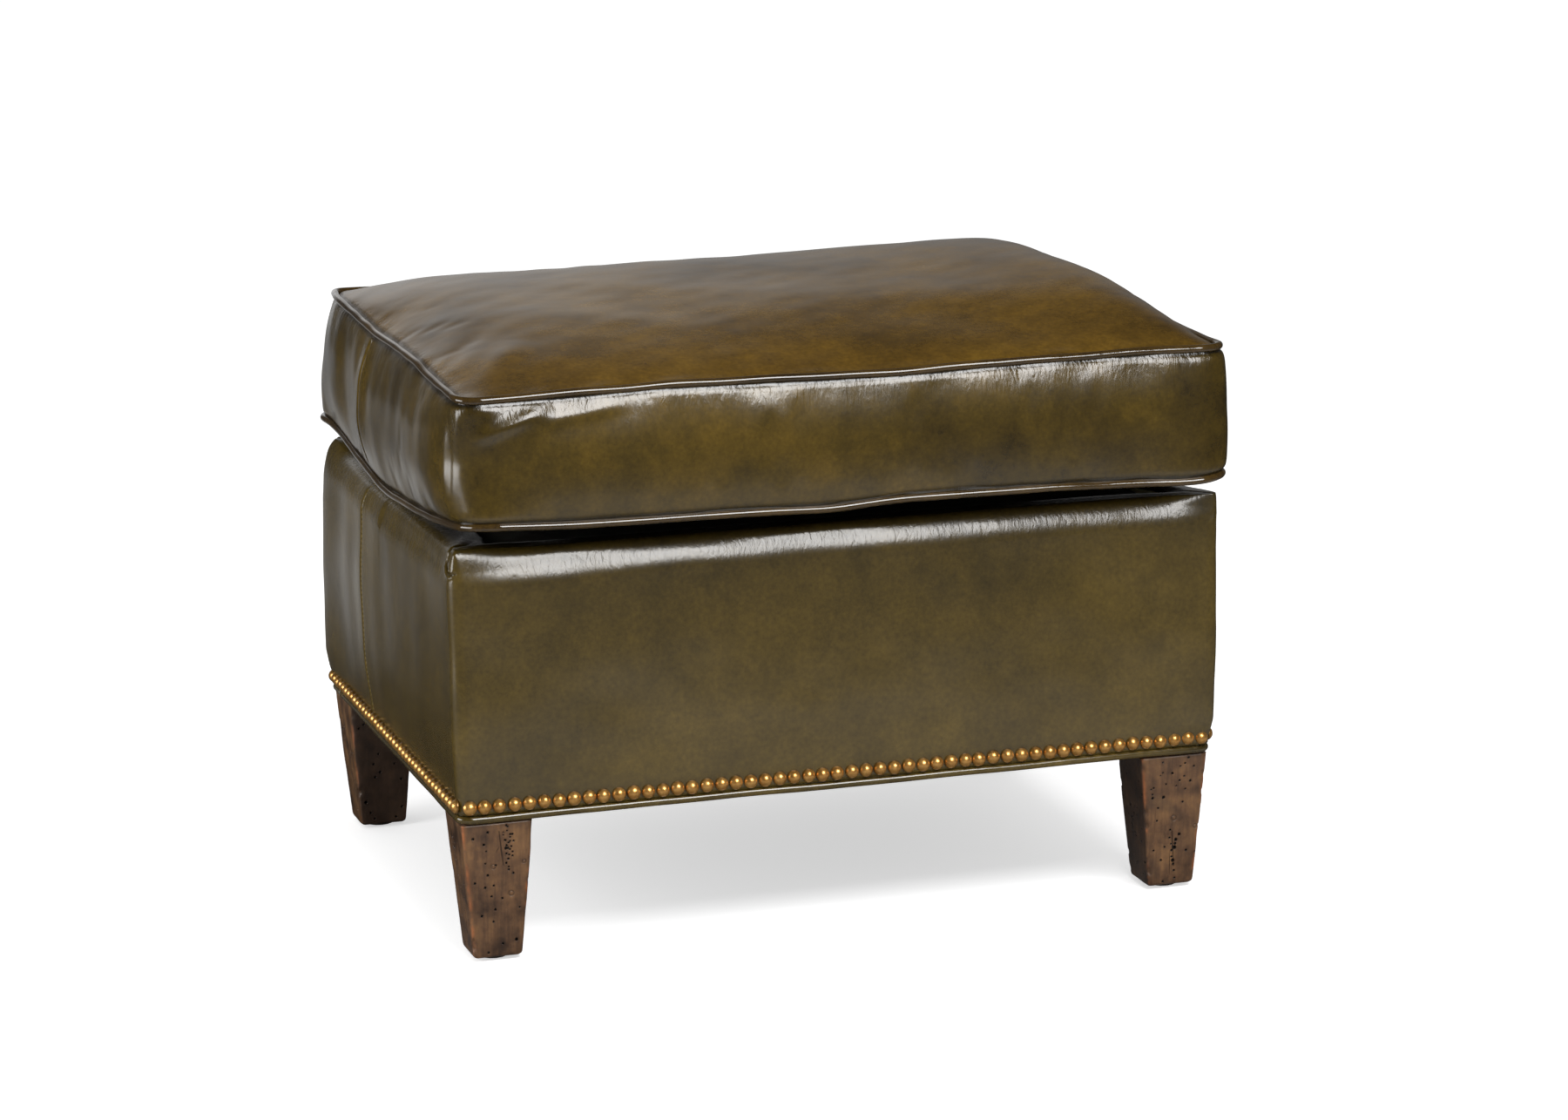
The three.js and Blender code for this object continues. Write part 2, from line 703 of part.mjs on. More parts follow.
// Leather of the base: a front and a rear panel that wrap round the corners to a seam on each
// side, swell a little, roll in over the edge roll and dip to the deck
function addCover() {
  const profile = (depth) => {
    const rows = faceHeights().map((z) => {
      return { offset: coverOffset - depth, round: coverOffset, z, swell: baseSwell(z) };
    });
    for (let i = 0; i <= rollSteps; i += 1) {
      const angle = (i / rollSteps) * Math.PI / 2;
      const reach = rollOuterRadius * Math.cos(angle) - rollOuterRadius;
      const thin = depth * Math.cos(angle);
      const z = rollCentreZ + (rollOuterRadius - depth) * Math.sin(angle);
      rows.push({ offset: coverOffset + reach - thin, round: coverOffset + reach, z, swell: 0 });
    }
    const flatOffset = coverOffset - rollOuterRadius - flapFlat;
    const flapOffset = coverOffset - rollOuterRadius - flapLength;
    rows.push({ offset: flatOffset, round: flatOffset, z: baseTopZ - depth, swell: 0 });
    rows.push({ offset: flapOffset, round: flapOffset, z: baseTopZ - deckRimDrop / 2 - depth, swell: 0 });
    return rows;
  };
  const rowPoints = (facing, row, endY) => {
    const round = Math.max(row.round, foldRadius) - (row.round - row.offset);
    const halfX = railHalfX + row.offset;
    const halfY = railHalfY + row.offset;
    return raised(run(facing, halfX, halfY, round, endY, row.swell), row.z);
  };
  for (const [name, facing] of [["front", -1], ["rear", 1]]) {
    const endY = sideSeamBehindCentre + facing * fit / 2;
    const outer = profile(0).map((row) => rowPoints(facing, row, endY));
    const inner = profile(leather).map((row) => rowPoints(facing, row, endY));
    addPiece(base, `cover_${name}_panel`, sheet(outer, inner), olive);
  }
  const weltHalfX = baseWidth / 2 - baseWeltInset;
  const weltHalfY = baseDepth / 2 - baseWeltInset;
  const weltPath = loopAt(weltHalfX, weltHalfY, coverOffset - baseWeltInset, baseWeltZ);
  addPiece(base, "base_welt", tube(weltPath, baseWeltRadius, roundSides, true), oliveWelt);
}

// A row of domed nail heads along X that face -Y, each joined to the next by a thin link
function nailRow(width, halfDepth, nailZ, pitch) {
  const span = width - 2 * nailCornerInset;
  const gaps = Math.max(Math.round(span / pitch), 1);
  const y = -halfDepth - baseSwell(nailZ) - fit;
  const points = [];
  const triangles = [];
  const quad = (a, b, c, d) => triangles.push(a, b, c, a, c, d);
  const stride = 2 * roundSides + 1;
  const rim = roundSides;
  const leftFlat = roundSides / 2 - 1;
  const rightFlat = roundSides - 1;
  for (let i = 0; i <= gaps; i += 1) {
    const x = -span / 2 + (i / gaps) * span;
    const start = i * stride;
    for (const [radius, height] of [[nailRadius, 0], [nailRimRadius, nailRimHeight]]) {
      for (let k = 0; k < roundSides; k += 1) {
        const angle = ((k + 0.5) / roundSides) * Math.PI * 2;
        const z = nailZ + Math.sin(angle) * radius;
        points.push(new THREE.Vector3(x + Math.cos(angle) * radius, y - height, z));
      }
    }
    points.push(new THREE.Vector3(x, y - nailHeight, nailZ));
    for (let k = 0; k < roundSides; k += 1) {
      const next = (k + 1) % roundSides;
      triangles.push(start + rim + k, start + rim + next, start + stride - 1);
      if (k > 0 && k + 1 < roundSides) {
        triangles.push(start, start + k + 1, start + k);
      }
      const linked = (k === leftFlat && i > 0) || (k === rightFlat && i < gaps);
      if (!linked) {
        quad(start + k, start + next, start + rim + next, start + rim + k);
      }
    }
    if (i > 0) {
      const before = start - stride;
      const upperHere = start + leftFlat;
      const lowerHere = start + leftFlat + 1;
      const upperBefore = before;
      const lowerBefore = before + rightFlat;
      quad(lowerBefore, upperBefore, upperHere, lowerHere);
      quad(upperHere, upperBefore, upperBefore + rim, upperHere + rim);
      quad(upperHere + rim, upperBefore + rim, lowerBefore + rim, lowerHere + rim);
      quad(lowerHere, lowerHere + rim, lowerBefore + rim, lowerBefore);
    }
  }
  return meshOf(points, triangles);
}

// Nails: a row along the foot of each side
function addNails() {
  const nailZ = railBottomZ + nailLift;
  const front = nailRow(baseWidth, baseDepth / 2, nailZ, frontNailPitch);
  const side = nailRow(baseDepth, baseWidth / 2, nailZ, sideNailPitch);
  addPiece(base, "nail_row_front", front, brass);
  addPiece(base, "nail_row_back", front.clone().rotateZ(Math.PI), brass);
  addPiece(base, "nail_row_left", side.clone().rotateZ(-Math.PI / 2), brass);
  addPiece(base, "nail_row_right", side.clone().rotateZ(Math.PI / 2), brass);
}

// Dust cover: black cloth under the rails, notched round the legs
function addDustCover() {
  const halfX = railHalfX - dustCoverMargin;
  const halfY = railHalfY - dustCoverMargin;
  const notchX = legCentreX - legTop / 2 - legNotchGap;
  const notchY = legCentreY - legTop / 2 - legNotchGap;
  const outline = new THREE.Shape([
    new THREE.Vector2(notchX, halfY), new THREE.Vector2(-notchX, halfY),
    new THREE.Vector2(-notchX, notchY), new THREE.Vector2(-halfX, notchY),
    new THREE.Vector2(-halfX, -notchY), new THREE.Vector2(-notchX, -notchY),
    new THREE.Vector2(-notchX, -halfY), new THREE.Vector2(notchX, -halfY),
    new THREE.Vector2(notchX, -notchY), new THREE.Vector2(halfX, -notchY),
    new THREE.Vector2(halfX, notchY), new THREE.Vector2(notchX, notchY),
  ]);
  const cloth = new THREE.ExtrudeGeometry(outline, { depth: dustCoverThickness, bevelEnabled: false });
  addPiece(base, "dust_cover", cloth.translate(0, 0, legTopZ - dustCoverThickness), cambric);
}

// The cushion's top stands higher at the back, so its points rise with height and depth
function lean(points) {
  return points.map((point) => {
    const height = THREE.MathUtils.clamp((point.z - bottomWeltZ) / bandHeight, 0, 1);
    const back = THREE.MathUtils.clamp(point.y / cushionHalfY, -1, 1);
    return point.clone().setZ(point.z + (height * backRise * (1 + back)) / 2);
  });
}

// How far the band stands out past the welts, and how far its edges draw in, up its height
function bandRow(share) {
  const full = Math.sin(Math.PI * bandFlatShare);
  const offset = bandBulge * Math.min(1, Math.sin(Math.PI * share) / full);
  const draw = rimDraw * Math.max(0, Math.cos(2 * Math.PI * share));
  const z = THREE.MathUtils.lerp(bottomWeltZ + bandLift, topWeltZ - bandLift, share);
  return { offset, draw, z };
}

function bandShares() {
  return Array.from({ length: bandSteps + 1 }, (_, i) => i / bandSteps);
}

const crownHalfX = cushionHalfX - rimInset;
const crownHalfY = cushionHalfY - rimInset;
const crownCorner = cushionCorner - rimInset;

// How full a crown is above a point: one at the middle and nothing at the rim
function fullness(point, powerAcross, powerAlong) {
  const across = Math.min(Math.abs(point.x) / crownHalfX, 1);
  const along = Math.min(Math.abs(point.y) / crownHalfY, 1);
  return (1 - across ** powerAcross) * (1 - along ** powerAlong);
}

function crownedTop(points, rimZ) {
  const height = (point) => topCrown * fullness(point, crownPowerAcross, crownPowerAlong);
  return lean(points.map((point) => point.clone().setZ(rimZ + height(point))));
}

function crownedBottom(points, rimZ) {
  const depth = (point) => bottomCrown * fullness(point, seatPower, seatPower);
  return lean(points.map((point) => point.clone().setZ(rimZ - depth(point))));
}

function crownLoop(share) {
  const joinY = bandSeamBehindCentre * share;
  const draw = rimDraw * share ** 2;
  return loopAt(crownHalfX * share, crownHalfY * share, crownCorner * share, 0, -draw, joinY);
}

function topLoop(share, drop) {
  return crownedTop(crownLoop(share), topWeltZ - drop);
}

function bottomLoop(share, drop) {
  return crownedBottom(crownLoop(share), bottomWeltZ + drop);
}

function apex(z) {
  return lean([new THREE.Vector3(0, 0, z)])[0];
}

// Cushion filling: what lies inside the leather, in outline
function fillingSolid(depth) {
  const sides = bandShares().map((share) => {
    const { offset, draw, z } = bandRow(share);
    const grow = offset - depth;
    const round = cushionCorner + grow;
    return lean(loopAt(cushionHalfX + grow, cushionHalfY + grow, round, z, -draw, bandSeamBehindCentre));
  });
  const under = crownShares.map((share) => bottomLoop(share, depth));
  const over = crownShares.map((share) => topLoop(share, depth)).reverse();
  const tips = [apex(bottomWeltZ - bottomCrown + depth), apex(topWeltZ + topCrown - depth)];
  return solidOf(loft([...under, ...sides, ...over], tips[0], tips[1]));
}

// What lies between the upper and lower crowns, a given depth inside the leather, from a front
// plane to a back plane
function coreBlock(depth, frontY, backY) {
  const halfX = cushionHalfX + bandBulge + overrun;
  const halfY = cushionHalfY + bandBulge + overrun;
  const level = (share) => loopAt(halfX * share, halfY * share, cushionCorner * share, 0);
  const bottomZ = bottomWeltZ + depth;
  const topZ = topWeltZ - depth;
  const under = crownShares.map((share) => crownedBottom(level(share), bottomZ));
  const over = crownShares.map((share) => crownedTop(level(share), topZ)).reverse();
  const tips = [apex(bottomZ - bottomCrown), apex(topZ + topCrown)];
  const whole = solidOf(loft([...under, ...over], tips[0], tips[1]));
  const low = new THREE.Vector3(-halfX - overrun, frontY, bottomWeltZ - bottomCrown);
  const high = new THREE.Vector3(halfX + overrun, backY, topWeltZ + topCrown + backRise);
  return whole.intersect(solidOf(boxAt(low, high)));
}

// Filling: a foam core, with one sheet of fibre that folds over its top, front and bottom
function addFilling() {
  const skin = leather + fit;
  const face = cushionHalfY + bandBulge;
  const filling = fillingSolid(skin);
  const inside = skin + fibreWrap;
  const cavity = coreBlock(inside, inside - face, face + overrun);
  const core = coreBlock(inside + fit, inside + fit - face, face - skin - zipperRoom);
  addPiece(cushion, "cushion_fibre_wrap", geometryOf(filling.subtract(cavity)), fibre);
  addPiece(cushion, "cushion_foam_core", geometryOf(filling.intersect(core)), foam);
}

// Cushion leather: crowned top and bottom panels, and a band in two lengths with a welt at each edge
function addCushionCover() {
  const topOuter = crownShares.map((share) => topLoop(share, 0));
  const topInner = crownShares.map((share) => topLoop(share, leather)).reverse();
  const topTips = [apex(topWeltZ + topCrown), apex(topWeltZ + topCrown - leather)];
  const topPanel = loft([...topOuter, ...topInner], topTips[0], topTips[1]);
  addPiece(cushion, "cushion_top_panel", topPanel, olive);
  const lowOuter = crownShares.map((share) => bottomLoop(share, 0));
  const lowInner = crownShares.map((share) => bottomLoop(share, leather)).reverse();
  const lowTips = [apex(bottomWeltZ - bottomCrown), apex(bottomWeltZ - bottomCrown + leather)];
  const lowPanel = loft([...lowOuter, ...lowInner], lowTips[0], lowTips[1]);
  addPiece(cushion, "cushion_bottom_panel", lowPanel, olive);

  const rows = (facing, depth) => bandShares().map((share) => {
    const { offset, draw, z } = bandRow(share);
    const grow = offset - depth;
    const endY = bandSeamBehindCentre + facing * fit / 2;
    const points = run(facing, cushionHalfX + grow, cushionHalfY + grow, cushionCorner + grow, endY, -draw);
    return lean(raised(points, z));
  });
  addPiece(cushion, "cushion_band_front", sheet(rows(-1, 0), rows(-1, leather)), olive);
  const rearBand = solidOf(sheet(rows(1, 0), rows(1, leather)));
  const faceY = cushionHalfY + bandBulge;
  const halfSlot = slotHeight / 2;
  const low = new THREE.Vector3(-slotLength / 2, faceY - leather - overrun, zipperZ - halfSlot);
  const high = new THREE.Vector3(slotLength / 2, faceY + overrun, zipperZ + halfSlot);
  const slotted = geometryOf(rearBand.subtract(solidOf(boxAt(low, high))));
  addPiece(cushion, "cushion_band_rear", slotted, olive);

  for (const [name, z] of [["bottom", bottomWeltZ], ["top", topWeltZ]]) {
    const path = lean(loopAt(cushionHalfX, cushionHalfY, cushionCorner, z, -rimDraw, bandSeamBehindCentre));
    addPiece(cushion, `cushion_welt_${name}`, tube(path, cushionWeltRadius, roundSides, true), oliveWelt);
  }
}

// Zipper halves: tape with its row of teeth, one above the slit and one below
function addZipper() {
  const halfLength = slotLength / 2 - fit;
  const midY = tapeMidY - cushionCentreY;
  const teethTop = teethSlit / 2 + teethHeight;
  const outline = new THREE.Shape([
    new THREE.Vector2(-teethThickness / 2, teethSlit / 2),
    new THREE.Vector2(teethThickness / 2, teethSlit / 2),
    new THREE.Vector2(teethThickness / 2, teethTop),
    new THREE.Vector2(tapeThickness / 2, teethTop),
    new THREE.Vector2(tapeThickness / 2, tapeHeight),
    new THREE.Vector2(-tapeThickness / 2, tapeHeight),
    new THREE.Vector2(-tapeThickness / 2, teethTop),
    new THREE.Vector2(-teethThickness / 2, teethTop),
  ]);
  for (const [name, side] of [["upper", 1], ["lower", -1]]) {
    const section = (x) => outline.getPoints().map((point) => {
      return new THREE.Vector3(x, midY + point.x, zipperZ + side * point.y);
    });
    const half = prism(section(-halfLength), section(halfLength), outline);
    addPiece(cushion, `zipper_half_${name}`, half, zipperFabric);
  }
}

// Slider: two plates joined by a post in the slit, with a low arch that carries the pull
function addSlider() {
  const slider = new THREE.Group();
  slider.position.set(sliderTravelEndX, tapeMidY - cushionCentreY, zipperZ);
  cushion.add(slider);
  const halfLength = sliderLength / 2;
  const halfHeight = sliderHeight / 2;
  const plateY = teethThickness / 2 + fit;
  const flangeY = tapeThickness / 2 + fit;
  const faceY = plateY + sliderPlate;
  const halfPost = sliderPostThickness / 2;
  const halfPostLength = sliderPostLength / 2;
  let body = solidOf(box(-halfPostLength, -faceY, -halfPost, halfPostLength, faceY, halfPost));
  for (const side of [-1, 1]) {
    const near = Math.min(side * plateY, side * faceY);
    const far = Math.max(side * plateY, side * faceY);
    body = body.add(solidOf(box(-halfLength, near, -halfHeight, halfLength, far, halfHeight)));
    const lipNear = Math.min(side * flangeY, side * faceY);
    const lipFar = Math.max(side * flangeY, side * faceY);
    const innerZ = halfHeight - sliderFlange;
    body = body.add(solidOf(box(-halfLength, lipNear, innerZ, halfLength, lipFar, halfHeight)));
    body = body.add(solidOf(box(-halfLength, lipNear, -halfHeight, halfLength, lipFar, -innerZ)));
  }
  const hingeHeight = fit + pullThickness * Math.SQRT1_2;
  const underTop = faceY + 2 * hingeHeight;
  const archTop = underTop + archBar;
  const halfArch = archSpan / 2;
  const halfWidth = archWidth / 2;
  const arch = solidOf(box(-halfArch, faceY - halfPost, -halfWidth, halfArch, archTop, halfWidth));
  const underHalf = halfArch - archBar;
  const archUnder = box(-underHalf, faceY, -halfWidth - fit, underHalf, underTop, halfWidth + fit);
  body = body.add(arch.subtract(solidOf(archUnder)));
  addPiece(slider, "zipper_slider", geometryOf(body), brass);

  const bar = pullThickness / 2;
  const halfPull = pullWidth / 2;
  const plate = solidOf(box(bar - pullLength, -bar, -halfPull, bar, bar, halfPull));
  const halfWindow = pullWindowWidth / 2;
  const window = box(-bar - pullWindowLength, -overrun, -halfWindow, -bar, overrun, halfWindow);
  const tab = geometryOf(plate.subtract(solidOf(window)));
  const pull = addPiece(slider, "zipper_pull", tab, brass);
  pull.position.set(0, faceY + hingeHeight, 0);
}

addFrame();
addLegs();
addSprings();
addDeck();
addPadding();
addCover();
addNails();
addDustCover();
addFilling();
addCushionCover();
addZipper();
addSlider();

// The whole stool stands on the ground, centred on the origin
stool.updateMatrixWorld(true);
const bounds = new THREE.Box3().setFromObject(stool);
const middle = bounds.getCenter(new THREE.Vector3());
stool.position.set(-middle.x, -middle.y, -bounds.min.z);

export default stool;
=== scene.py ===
"""An upholstered footstool: glossy olive leather, welts, brass nails and worn wooden legs."""

import math

import bmesh
import bpy
import numpy as np
from mathutils import Matrix, Vector
from mathutils.bvhtree import BVHTree
from mathutils.kdtree import KDTree


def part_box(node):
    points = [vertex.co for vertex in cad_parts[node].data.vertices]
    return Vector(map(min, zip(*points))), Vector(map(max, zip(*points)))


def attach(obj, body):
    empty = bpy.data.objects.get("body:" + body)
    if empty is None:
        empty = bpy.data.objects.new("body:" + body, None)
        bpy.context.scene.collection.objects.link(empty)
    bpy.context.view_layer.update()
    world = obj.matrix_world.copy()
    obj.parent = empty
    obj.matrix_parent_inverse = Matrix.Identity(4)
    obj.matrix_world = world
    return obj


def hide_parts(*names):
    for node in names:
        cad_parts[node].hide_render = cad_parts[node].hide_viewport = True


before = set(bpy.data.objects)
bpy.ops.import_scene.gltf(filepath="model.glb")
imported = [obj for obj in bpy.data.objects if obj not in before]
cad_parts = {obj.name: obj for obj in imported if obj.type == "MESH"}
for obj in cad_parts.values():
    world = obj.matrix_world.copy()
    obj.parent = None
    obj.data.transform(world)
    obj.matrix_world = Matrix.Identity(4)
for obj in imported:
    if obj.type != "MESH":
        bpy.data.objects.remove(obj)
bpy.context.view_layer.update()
scene = bpy.context.scene

# Sizes in metres, the same as the solids that the pieces stand for. Tables of smaller
# measures are in tenths of a millimetre, and TENTHS makes metres of them
TENTHS = 10000
BASE_X, BASE_Y, BASE_MID_Y = 0.330, 0.248, 0.0152
BASE_CORNER = 0.0121
COVER_LOW, ROLL_MID, BASE_TOP = 0.1288, 0.3237, 0.3455
BASE_SEAM_Y = BASE_MID_Y + 0.070
CUSHION_X, CUSHION_Y, CUSHION_MID_Y = 0.326, 0.262, -0.0018
CUSHION_LOW, CUSHION_HIGH, BACK_RISE = 0.367, 0.477, 0.010
CUSHION_SEAM_Y = CUSHION_MID_Y + 0.050
TOP_CROWN, LOW_CROWN = 0.0354, 0.015
DECK_TOP = 0.3517
WELT, BASE_WELT, BASE_WELT_Z = 0.00325, 0.0035, 0.125
SKIN = 0.0015
NAIL_Z = 0.1353
LEG_TOP_Z, LEG_FOOT_Z = 0.120, 0.0033
LEG_TALL = LEG_TOP_Z - LEG_FOOT_Z
LEG_TOP, LEG_FOOT = 0.061, 0.042
LEG_X, LEG_Y = 0.2977, 0.2157
ZIP_Z, ZIP_Y, SLOT_X, SLOT_Z = 0.427, 0.263, 0.270, 0.0053

# The camera that the photograph was fitted to: degrees, metres and pixels
CAMERA_TURN, CAMERA_RISE, CAMERA_ROLL = -17.31, 12.42, -0.94
CAMERA_AIM, CAMERA_AWAY = (0.0276, 0.0152, 0.2632), 4.002
FOCAL_PIXELS, PHOTO_WIDTH, SENSOR_WIDTH = 5217, 1800, 36


# ---------------------------------------------------------------- camera and light


def place_camera():
    """The camera at the photograph's place: azimuth, elevation and a slight roll."""
    azimuth, elevation, roll = map(math.radians, (CAMERA_TURN, CAMERA_RISE, CAMERA_ROLL))
    flat = math.cos(elevation)
    away = Vector((math.sin(azimuth) * flat, -math.cos(azimuth) * flat, math.sin(elevation)))
    right = Vector((0, 0, 1)).cross(away).normalized()
    up = away.cross(right)
    turned_right = right * math.cos(roll) + up * math.sin(roll)
    turned_up = up * math.cos(roll) - right * math.sin(roll)
    data = bpy.data.cameras.new("camera")
    data.sensor_fit = "HORIZONTAL"
    data.sensor_width = SENSOR_WIDTH
    data.lens = FOCAL_PIXELS / PHOTO_WIDTH * SENSOR_WIDTH
    data.clip_start, data.clip_end = 0.1, 100
    camera = bpy.data.objects.new("camera", data)
    rotation = Matrix((turned_right, turned_up, away)).transposed().to_4x4()
    camera.matrix_world = Matrix.Translation(Vector(CAMERA_AIM) + away * CAMERA_AWAY) @ rotation
    scene.collection.objects.link(camera)
    scene.camera = camera


def srgb(red, green, blue):
    """A screen colour, each part 0 to 255, as the linear colour that shaders take."""

    def line(value):
        value /= 255
        return value / 12.92 if value <= 0.04045 else ((value + 0.055) / 1.055) ** 2.4

    return (line(red), line(green), line(blue), 1.0)


class Graph:
    """A node tree under construction: each call adds nodes and returns their output."""

    def __init__(self, tree):
        self.tree = tree
        tree.nodes.clear()

    def add(self, kind, inputs=(), **settings):
        node = self.tree.nodes.new("ShaderNode" + kind)
        for key, value in settings.items():
            setattr(node, key, value)
        for key, value in dict(inputs).items():
            if isinstance(value, bpy.types.NodeSocket):
                self.tree.links.new(value, node.inputs[key])
            else:
                node.inputs[key].default_value = value
        return node

    def place(self):
        return self.add("TexCoord").outputs["Object"]

    def scaled(self, x, y, z, coords=None, turn=(0, 0, 0)):
        inputs = {"Vector": coords or self.place(), "Scale": (x, y, z), "Rotation": turn}
        return self.add("Mapping", inputs).outputs[0]

    def noise(self, scale, detail=3.0, rough=0.5, coords=None, twist=0.0):
        inputs = {
            "Vector": coords or self.place(),
            "Scale": scale,
            "Detail": detail,
            "Roughness": rough,
            "Distortion": twist,
        }
        return self.add("TexNoise", inputs).outputs["Fac"]

    def cells(self, scale, coords):
        inputs = {"Vector": coords, "Scale": scale, "Randomness": 1.0}
        return self.add("TexVoronoi", inputs, feature="F1").outputs["Distance"]

    def math(self, kind, first, second=0.0):
        return self.add("Math", {0: first, 1: second}, operation=kind).outputs[0]

    def span(self, value, low, high, to_low=0.0, to_high=1.0):
        """Value stretched from low..high to to_low..to_high, and held there."""
        inputs = {0: value, 1: low, 2: high, 3: to_low, 4: to_high}
        return self.add("MapRange", inputs).outputs[0]

    def ramp(self, value, *stops):
        node = self.add("ValToRGB", {0: value})
        points = node.color_ramp.elements
        while len(points) < len(stops):
            points.new(1.0)
        for point, (place, colour) in zip(points, stops):
            point.position = place
            point.color = colour
        return node.outputs[0]

    def tones(self, value, *colours):
        """Screen colours spread evenly over values from 0 to 1."""
        last = len(colours) - 1
        return self.ramp(value, *[(i / last, srgb(*c)) for i, c in enumerate(colours)])

    def greys(self, value, stops):
        return self.ramp(value, *[(place, (tone, tone, tone, 1)) for place, tone in stops])

    def greys_round(self, parts, stops):
        """A grey by direction, with stops in degrees, 0 at the front and 90 on the right."""
        turn = self.math("ARCTAN2", parts["X"], self.math("MULTIPLY", parts["Y"], -1.0))
        turn = self.span(turn, -math.pi, math.pi)
        return self.greys(turn, [((angle + 180) / 360, tone) for angle, tone in stops])

    def sum_of(self, *parts):
        """The sum of some values, each given with its weight."""
        total, *rest = [self.math("MULTIPLY", value, weight) for value, weight in parts]
        for value in rest:
            total = self.math("ADD", total, value)
        return total

    def parts(self):
        return self.add("SeparateXYZ", {0: self.place()}).outputs

    def mix(self, share, first, second, kind="MIX"):
        settings = {"data_type": "RGBA", "blend_type": kind}
        node = self.add("Mix", {0: share, 6: first, 7: second}, **settings)
        return node.outputs[2]

    def bump(self, height, distance, strength=1.0, under=None):
        inputs = {"Height": height, "Distance": distance, "Strength": strength}
        if under is not None:
            inputs["Normal"] = under
        return self.add("Bump", inputs).outputs[0]

    def value_of(self, name):
        return self.add("Attribute", attribute_name=name).outputs["Fac"]

    def seen_plainly(self):
        """1 where the camera, a mirror or glass looks, and 0 for light on the object."""
        rays = self.add("LightPath").outputs
        seen = self.math("MAXIMUM", rays["Is Camera Ray"], rays["Is Glossy Ray"])
        return self.math("MAXIMUM", seen, rays["Is Transmission Ray"])

    def shade(self, **inputs):
        named = {key.replace("_", " "): value for key, value in inputs.items()}
        shader = self.add("BsdfPrincipled", named)
        self.add("OutputMaterial", {"Surface": shader.outputs[0]})


def material(name):
    look = bpy.data.materials.new(name)
    look.use_nodes = True
    return look, Graph(look.node_tree)


def light_panel(name, place, target, width, height, radiance, mirrored=True, lights=True):
    """A soft rectangular lamp that the camera doesn't see. Not mirrored, it only lights;
    without lights, it only shows in reflections."""
    data = bpy.data.lights.new(name, "AREA")
    data.shape = "RECTANGLE"
    data.size, data.size_y = width, height
    data.energy = radiance * math.pi * width * height
    lamp = bpy.data.objects.new(name, data)
    facing = (Vector(target) - Vector(place)).to_track_quat("-Z", "Y")
    lamp.matrix_world = Matrix.Translation(Vector(place)) @ facing.to_matrix().to_4x4()
    lamp.visible_camera = False
    lamp.visible_glossy = mirrored
    lamp.visible_diffuse = lights
    scene.collection.objects.link(lamp)


def square(reach, z=0.0):
    """The corners of a level square about the middle."""
    return [(-reach, -reach, z), (reach, -reach, z), (reach, reach, z), (-reach, reach, z)]


def card(name, points, faces, look, graph, tone):
    """A card that reflections alone see: the camera, the shadows and plain light miss it."""
    glow = graph.add("Emission", {"Color": tone, "Strength": 1.0})
    graph.add("OutputMaterial", {"Surface": glow.outputs[0]})
    look.cycles.emission_sampling = "NONE"
    thing = bare_object(name, points, faces, look)
    thing.visible_camera = False
    thing.visible_diffuse = False
    thing.visible_shadow = False
    thing.visible_transmission = False


# The tone of the tent of cards round the stool, by direction and by height in metres / 4
TENT_ROUND = [
    (-180, 0.95), (-175, 0.95), (-170, 0.50), (-165, 0.12), (-160, 0.06), (-60, 0.04),
    (0, 0.05), (40, 0.06), (110, 0.05), (140, 0.12), (160, 0.38), (180, 0.90),
]
TENT_UP = [(0.0, 0.75), (0.25, 1.0), (0.42, 0.95), (0.56, 0.30), (0.72, 0.08), (1.0, 0.06)]
# The tone of the card on the ground, by distance in metres / 3, in front and behind
GROUND_FRONT = [
    (0.12, 0.21), (0.24, 0.52), (0.305, 0.42), (0.335, 0.22), (0.42, 0.15), (0.50, 0.08),
    (0.58, 0.09), (0.66, 0.12), (0.74, 0.04),
]
GROUND_REAR = [(0.12, 0.20), (0.26, 0.45), (0.38, 1.0), (0.48, 0.95), (0.60, 0.55), (0.80, 0.45)]
GROUND_ROUND = [
    (-180, 0.68), (-170, 0.70), (-162, 0.62), (-157, 0.36), (-152, 0.18), (-146, 0.08),
    (-110, 0.05), (110, 0.05), (150, 0.2), (180, 0.95),
]
# The floor's own colour, what it glows with for the camera, and the world's light
FLOOR_GREY, FLOOR_GLOW, WORLD_LIGHT = 0.86, 0.56, 0.55


